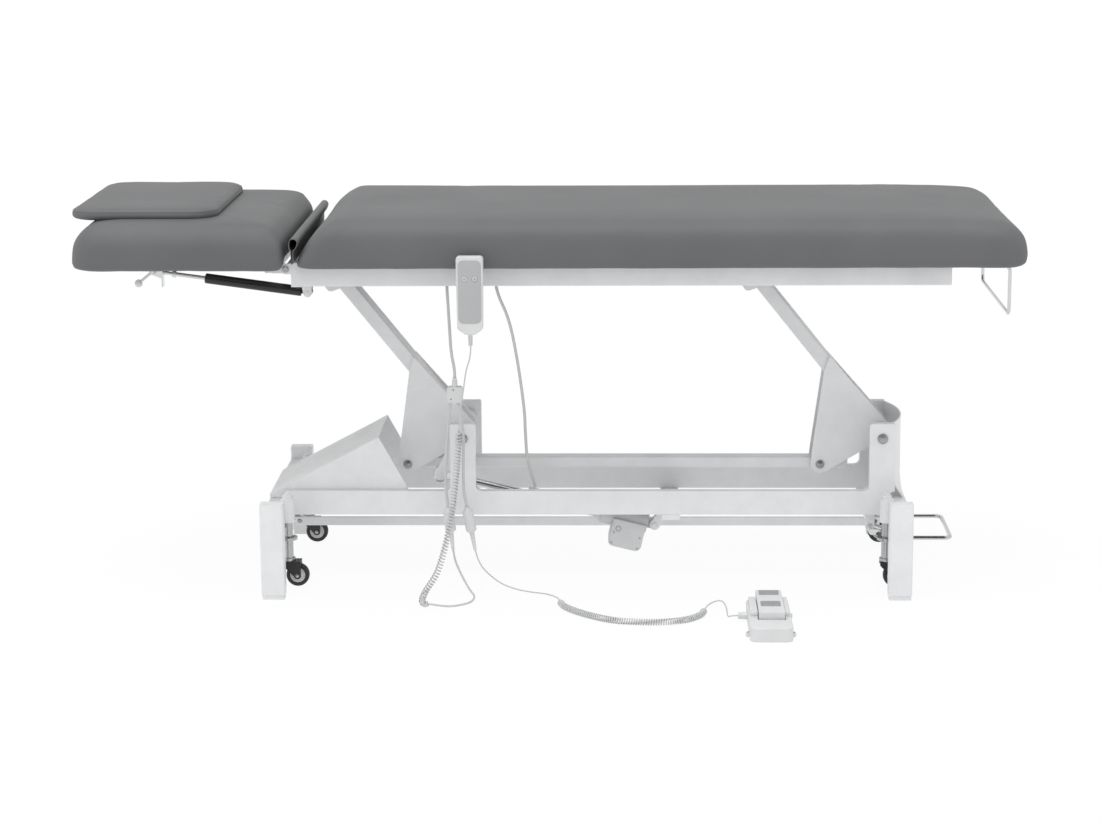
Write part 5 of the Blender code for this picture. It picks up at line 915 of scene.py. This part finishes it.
# Casters
def caster_details():
    """Tyre with a lighter rim and a bolt through each wheel."""
    for name in ("head_near", "head_far", "foot_near", "foot_far"):
        low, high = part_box("wheel_" + name)
        centre = (low + high) / 2
        radius = (high.z - low.z) / 2
        half = 0.0093
        tyre = [(-half * 0.55, radius * 0.66), (-half * 0.90, radius * 0.70), (-half, radius * 0.80),
                (-half * 0.92, radius * 0.92), (-half * 0.62, radius * 0.985), (0.0, radius),
                (half * 0.62, radius * 0.985), (half * 0.92, radius * 0.92), (half, radius * 0.80),
                (half * 0.90, radius * 0.70), (half * 0.55, radius * 0.66), (-half * 0.55, radius * 0.66)]
        body = "wheel_" + name
        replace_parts(finished("tyre_" + name, ring_of(tyre, centre), TYRE, body), body)
        rim = [(-0.0113, 0.0), (-0.0113, 0.0078), (-0.0060, 0.0090), (-0.0056, 0.0125), (-0.0074, 0.0140),
               (-0.0076, 0.0160), (-0.0052, 0.0168), (0.0052, 0.0168), (0.0076, 0.0160), (0.0074, 0.0140),
               (0.0056, 0.0125), (0.0060, 0.0090), (0.0113, 0.0078), (0.0113, 0.0)]
        finished("rim_" + name, turned(rim, centre, (0, 1, 0), 40), RIM, body)
        half_long = (high.y - low.y) / 2
        bolt = [(-half_long, 0.0), (-half_long, 0.0030), (-half_long + 0.0006, 0.0038), (-0.0112, 0.0038),
                (0.0112, 0.0038), (half_long - 0.0006, 0.0038), (half_long, 0.0030), (half_long, 0.0)]
        finished("axle_" + name, turned(bolt, centre, (0, 1, 0), 20), ZINC, body)


def ring_of(profile, centre, way=1):
    """Closed ring from (distance, radius) pairs round an axis along Y."""
    shape = bmesh.new()
    chain = [shape.verts.new((radius, 0.0, distance)) for distance, radius in profile[:-1]]
    edges = [shape.edges.new(pair) for pair in zip(chain, chain[1:] + chain[:1])]
    bmesh.ops.spin(shape, geom=chain + edges, cent=(0, 0, 0), axis=(0, 0, 1), angle=math.tau,
                   steps=48, use_merge=True)
    turn = Vector((0, way, 0)).to_track_quat('Z', 'Y').to_matrix().to_4x4()
    bmesh.ops.transform(shape, matrix=Matrix.Translation(centre) @ turn, verts=shape.verts)
    return shape


# Foot switch
def foot_switch_details():
    low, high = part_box("foot_switch_rocker")
    inner_left, inner_right = low.x + 0.006, high.x - 0.006
    for name, from_back, deep in (("back", 0.007, 0.034), ("middle", 0.088, 0.036)):
        far = high.y - from_back
        pad = rounded_tablet((inner_left + 0.006, far - deep, high.z - 0.0008),
                             (inner_right - 0.006, far, high.z + 0.0009), 2, 0.0035, 0.0003)
        finished("treadle_pad_" + name, pad, PAD_GREY, "switch_treadle")
        ridges = bmesh.new()
        for step in range(5):
            x = inner_left + 0.012 + step * (inner_right - inner_left - 0.024) / 4
            add_to(ridges, box_shape((x - 0.0016, far - deep + 0.004, high.z + 0.0004),
                                     (x + 0.0016, far - 0.004, high.z + 0.0014), 0.0004, 2))
        finished("treadle_ridges_" + name, ridges, PAD_GREY, "switch_treadle")
    ears = [about_table(x, y, EAR_TOP) for x in EAR_X for y in EAR_Y]
    for index, ear in enumerate(ears):
        screw = [(0.0, 0.0), (0.0, 0.0048), (0.0016, 0.0044), (0.0026, 0.0030), (0.0029, 0.0)]
        finished("ear_screw_%d" % index, turned(screw, ear, (0, 0, 1), 24), CHROME, "base")
    ribs = bmesh.new()
    boss = about_table(*FOOT_BOSS)
    for step in range(4):
        add_to(ribs, turned([(0, 0.0052), (0.0004, 0.0074), (0.0018, 0.0076), (0.0022, 0.0056)],
                            boss + Vector((0.0012 + step * 0.0038, 0, 0)), (1, 0, 0), 24))
    finished("foot_boss_ribs", ribs, PALE, "base")


# Frame details
def bolt_heads():
    """Hexagon heads on the ends of the pivot shafts and the upper shafts."""
    for name, body, across in (("head_pivot_shaft", "base", 0.0090), ("foot_pivot_shaft", "base", 0.0090),
                               ("head_upper_shaft", "table_top", 0.0080),
                               ("foot_upper_shaft", "table_top", 0.0080)):
        low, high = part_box(name)
        centre = (low + high) / 2
        shape = bmesh.new()
        for y, way in ((low.y, -1), (high.y, 1)):
            head = turned([(-0.0022, 0.0), (-0.0022, across), (0.0004, across), (0.0008, across * 0.86),
                           (0.0008, 0.0)], (centre.x, y, centre.z), (0, way, 0), 6)
            add_to(shape, head)
        finished("hex_" + name, shape, ZINC, body)


def tie_bolts():
    """Round bolt heads where the crank plates carry the tie bar."""
    for pivot, arm in (("head_pivot_shaft", "head_arm"), ("foot_pivot_shaft", "foot_arm")):
        low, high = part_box(pivot)
        centre = (low + high) / 2
        shape = bmesh.new()
        for y, way in ((centre.y - TIE_BOLT_REACH, -1), (centre.y + TIE_BOLT_REACH, 1)):
            add_to(shape, turned([(-0.0039, 0.0), (-0.0039, 0.0098), (-0.0028, 0.0100), (-0.0026, 0.0076),
                                  (0.0016, 0.0072), (0.0026, 0.0054), (0.0028, 0.0)],
                                 (centre.x + CRANK_TIP[0], y, centre.z + CRANK_TIP[1]), (0, way, 0), 28))
        finished("tie_bolt_" + arm, shape, ZINC, arm)


def motor_details():
    """Cover joint and four screws on the motor's near side."""
    low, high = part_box("actuator_housing")
    screws = bmesh.new()
    along = Vector(MOTOR_LINE).normalized()
    down = Vector((-along.z, 0.0, along.x))
    pin = about_table(*MOTOR_PIN)
    ring = [(0.0, 0.0058), (0.0008, 0.0060), (0.0010, 0.0052), (0.0004, 0.0048), (0.0, 0.0058)]
    cap = pin + along * 0.076 + down * 0.020
    rim = ring_of(ring, Vector((cap.x, low.y, cap.z)), -1)
    finished("motor_cap_ring", rim, PAD_GREY, "actuator")
    for reach in (0.026, 0.084):
        for drop in (0.030, 0.054):
            spot = pin + along * reach + down * drop
            add_to(screws, turned([(0, 0), (0, 0.0026), (0.0007, 0.0022), (0.0007, 0)],
                                  (spot.x, low.y + 0.0003, spot.z), (0, -1, 0), 16))
    finished("motor_screws", screws, ZINC, "actuator")


# Stage
def stage():
    """Camera, plain light, and a pale floor that also fills the background."""
    forward = Vector((-math.sin(CAMERA_YAW) * math.cos(CAMERA_PITCH),
                      math.cos(CAMERA_YAW) * math.cos(CAMERA_PITCH), -math.sin(CAMERA_PITCH)))
    level = Vector((math.cos(CAMERA_YAW), math.sin(CAMERA_YAW), 0.0))
    upright = level.cross(forward)
    right = level * math.cos(CAMERA_ROLL) + upright * math.sin(CAMERA_ROLL)
    up = upright * math.cos(CAMERA_ROLL) - level * math.sin(CAMERA_ROLL)
    data = bpy.data.cameras.new("camera")
    data.sensor_width = 36.0
    data.lens = FOCAL_PIXELS / PHOTO_WIDTH * data.sensor_width
    data.clip_end = 200.0
    camera = bpy.data.objects.new("camera", data)
    bpy.context.collection.objects.link(camera)
    place = TABLE_MIDDLE + CAMERA_PLACE
    turn = Matrix((right, up, -forward)).transposed().to_4x4()
    camera.matrix_world = Matrix.Translation(place) @ turn
    bpy.context.scene.camera = camera
    bpy.context.scene.view_settings.view_transform = 'Standard'

    sun = bpy.data.lights.new("sun", 'SUN')
    sun.energy = SUN_LIGHT
    sun.angle = SUN_SPREAD
    lamp = bpy.data.objects.new("sun", sun)
    lamp.rotation_euler = SUN_TURN
    bpy.context.collection.objects.link(lamp)

    world = bpy.data.worlds.new("room")
    bpy.context.scene.world = world
    world.use_nodes = True
    links, nodes = world.node_tree.links, world.node_tree.nodes
    ambient = nodes["Background"]
    ambient.inputs["Color"].default_value = (1.0, 1.0, 1.0, 1.0)
    ambient.inputs["Strength"].default_value = WORLD_LIGHT
    seen = nodes.new("ShaderNodeBackground")
    facing = nodes.new("ShaderNodeVectorMath")
    facing.operation = 'DOT_PRODUCT'
    facing.inputs[1].default_value = DIM_SIDE
    links.new(nodes.new("ShaderNodeTexCoord").outputs["Generated"], facing.inputs[0])
    dimmed = nodes.new("ShaderNodeMapRange")
    dimmed.interpolation_type = 'SMOOTHSTEP'
    for socket, amount in (("From Min", DIM_START), ("From Max", DIM_END),
                           ("To Min", 1.0), ("To Max", DIM_DEPTH)):
        dimmed.inputs[socket].default_value = amount
    links.new(facing.outputs["Value"], dimmed.inputs["Value"])
    links.new(dimmed.outputs["Result"], seen.inputs["Strength"])
    mixed = nodes.new("ShaderNodeMixShader")
    links.new(seen_ray(nodes, links), mixed.inputs[0])
    links.new(ambient.outputs[0], mixed.inputs[1])
    links.new(seen.outputs[0], mixed.inputs[2])
    links.new(mixed.outputs[0], nodes["World Output"].inputs["Surface"])

    shape = bmesh.new()
    bmesh.ops.create_grid(shape, x_segments=1, y_segments=1, size=FLOOR_REACH)
    mesh = bpy.data.meshes.new("floor")
    shape.to_mesh(mesh)
    shape.free()
    floor = bpy.data.objects.new("floor", mesh)
    bpy.context.collection.objects.link(floor)
    pale = bpy.data.materials.new("pale_floor")
    pale.use_nodes = True
    nodes, links = pale.node_tree.nodes, pale.node_tree.links
    nodes.remove(nodes["Principled BSDF"])
    matt = nodes.new("ShaderNodeBsdfDiffuse")
    matt.inputs["Color"].default_value = (0.84, 0.84, 0.84, 1.0)
    glow = nodes.new("ShaderNodeEmission")
    glow.inputs["Color"].default_value = (1.0, 1.0, 1.0, 1.0)
    blend = nodes.new("ShaderNodeMixShader")
    share = nodes.new("ShaderNodeMath")
    share.operation = 'MULTIPLY_ADD'
    share.inputs[1].default_value = FLOOR_SEEN
    share.inputs[2].default_value = FLOOR_GLOW
    links.new(seen_ray(nodes, links), share.inputs[0])
    links.new(share.outputs[0], blend.inputs[0])
    links.new(matt.outputs[0], blend.inputs[1])
    links.new(glow.outputs[0], blend.inputs[2])
    links.new(blend.outputs[0], nodes["Material Output"].inputs["Surface"])
    floor.data.materials.append(pale)


def seen_ray(nodes, links):
    """1 for what the camera sees directly or in a reflection or through glass."""
    path = nodes.new("ShaderNodeLightPath")
    total = nodes.new("ShaderNodeMath")
    total.operation = 'MAXIMUM'
    links.new(path.outputs["Is Camera Ray"], total.inputs[0])
    links.new(path.outputs["Is Glossy Ray"], total.inputs[1])
    whole = nodes.new("ShaderNodeMath")
    whole.operation = 'MAXIMUM'
    links.new(total.outputs[0], whole.inputs[0])
    links.new(path.outputs["Is Transmission Ray"], whole.inputs[1])
    return whole.outputs[0]


stage()
make_cords()
dress_frame()
handset_details()
caster_details()
foot_switch_details()
bolt_heads()
tie_bolts()
motor_details()
make_soft_goods()
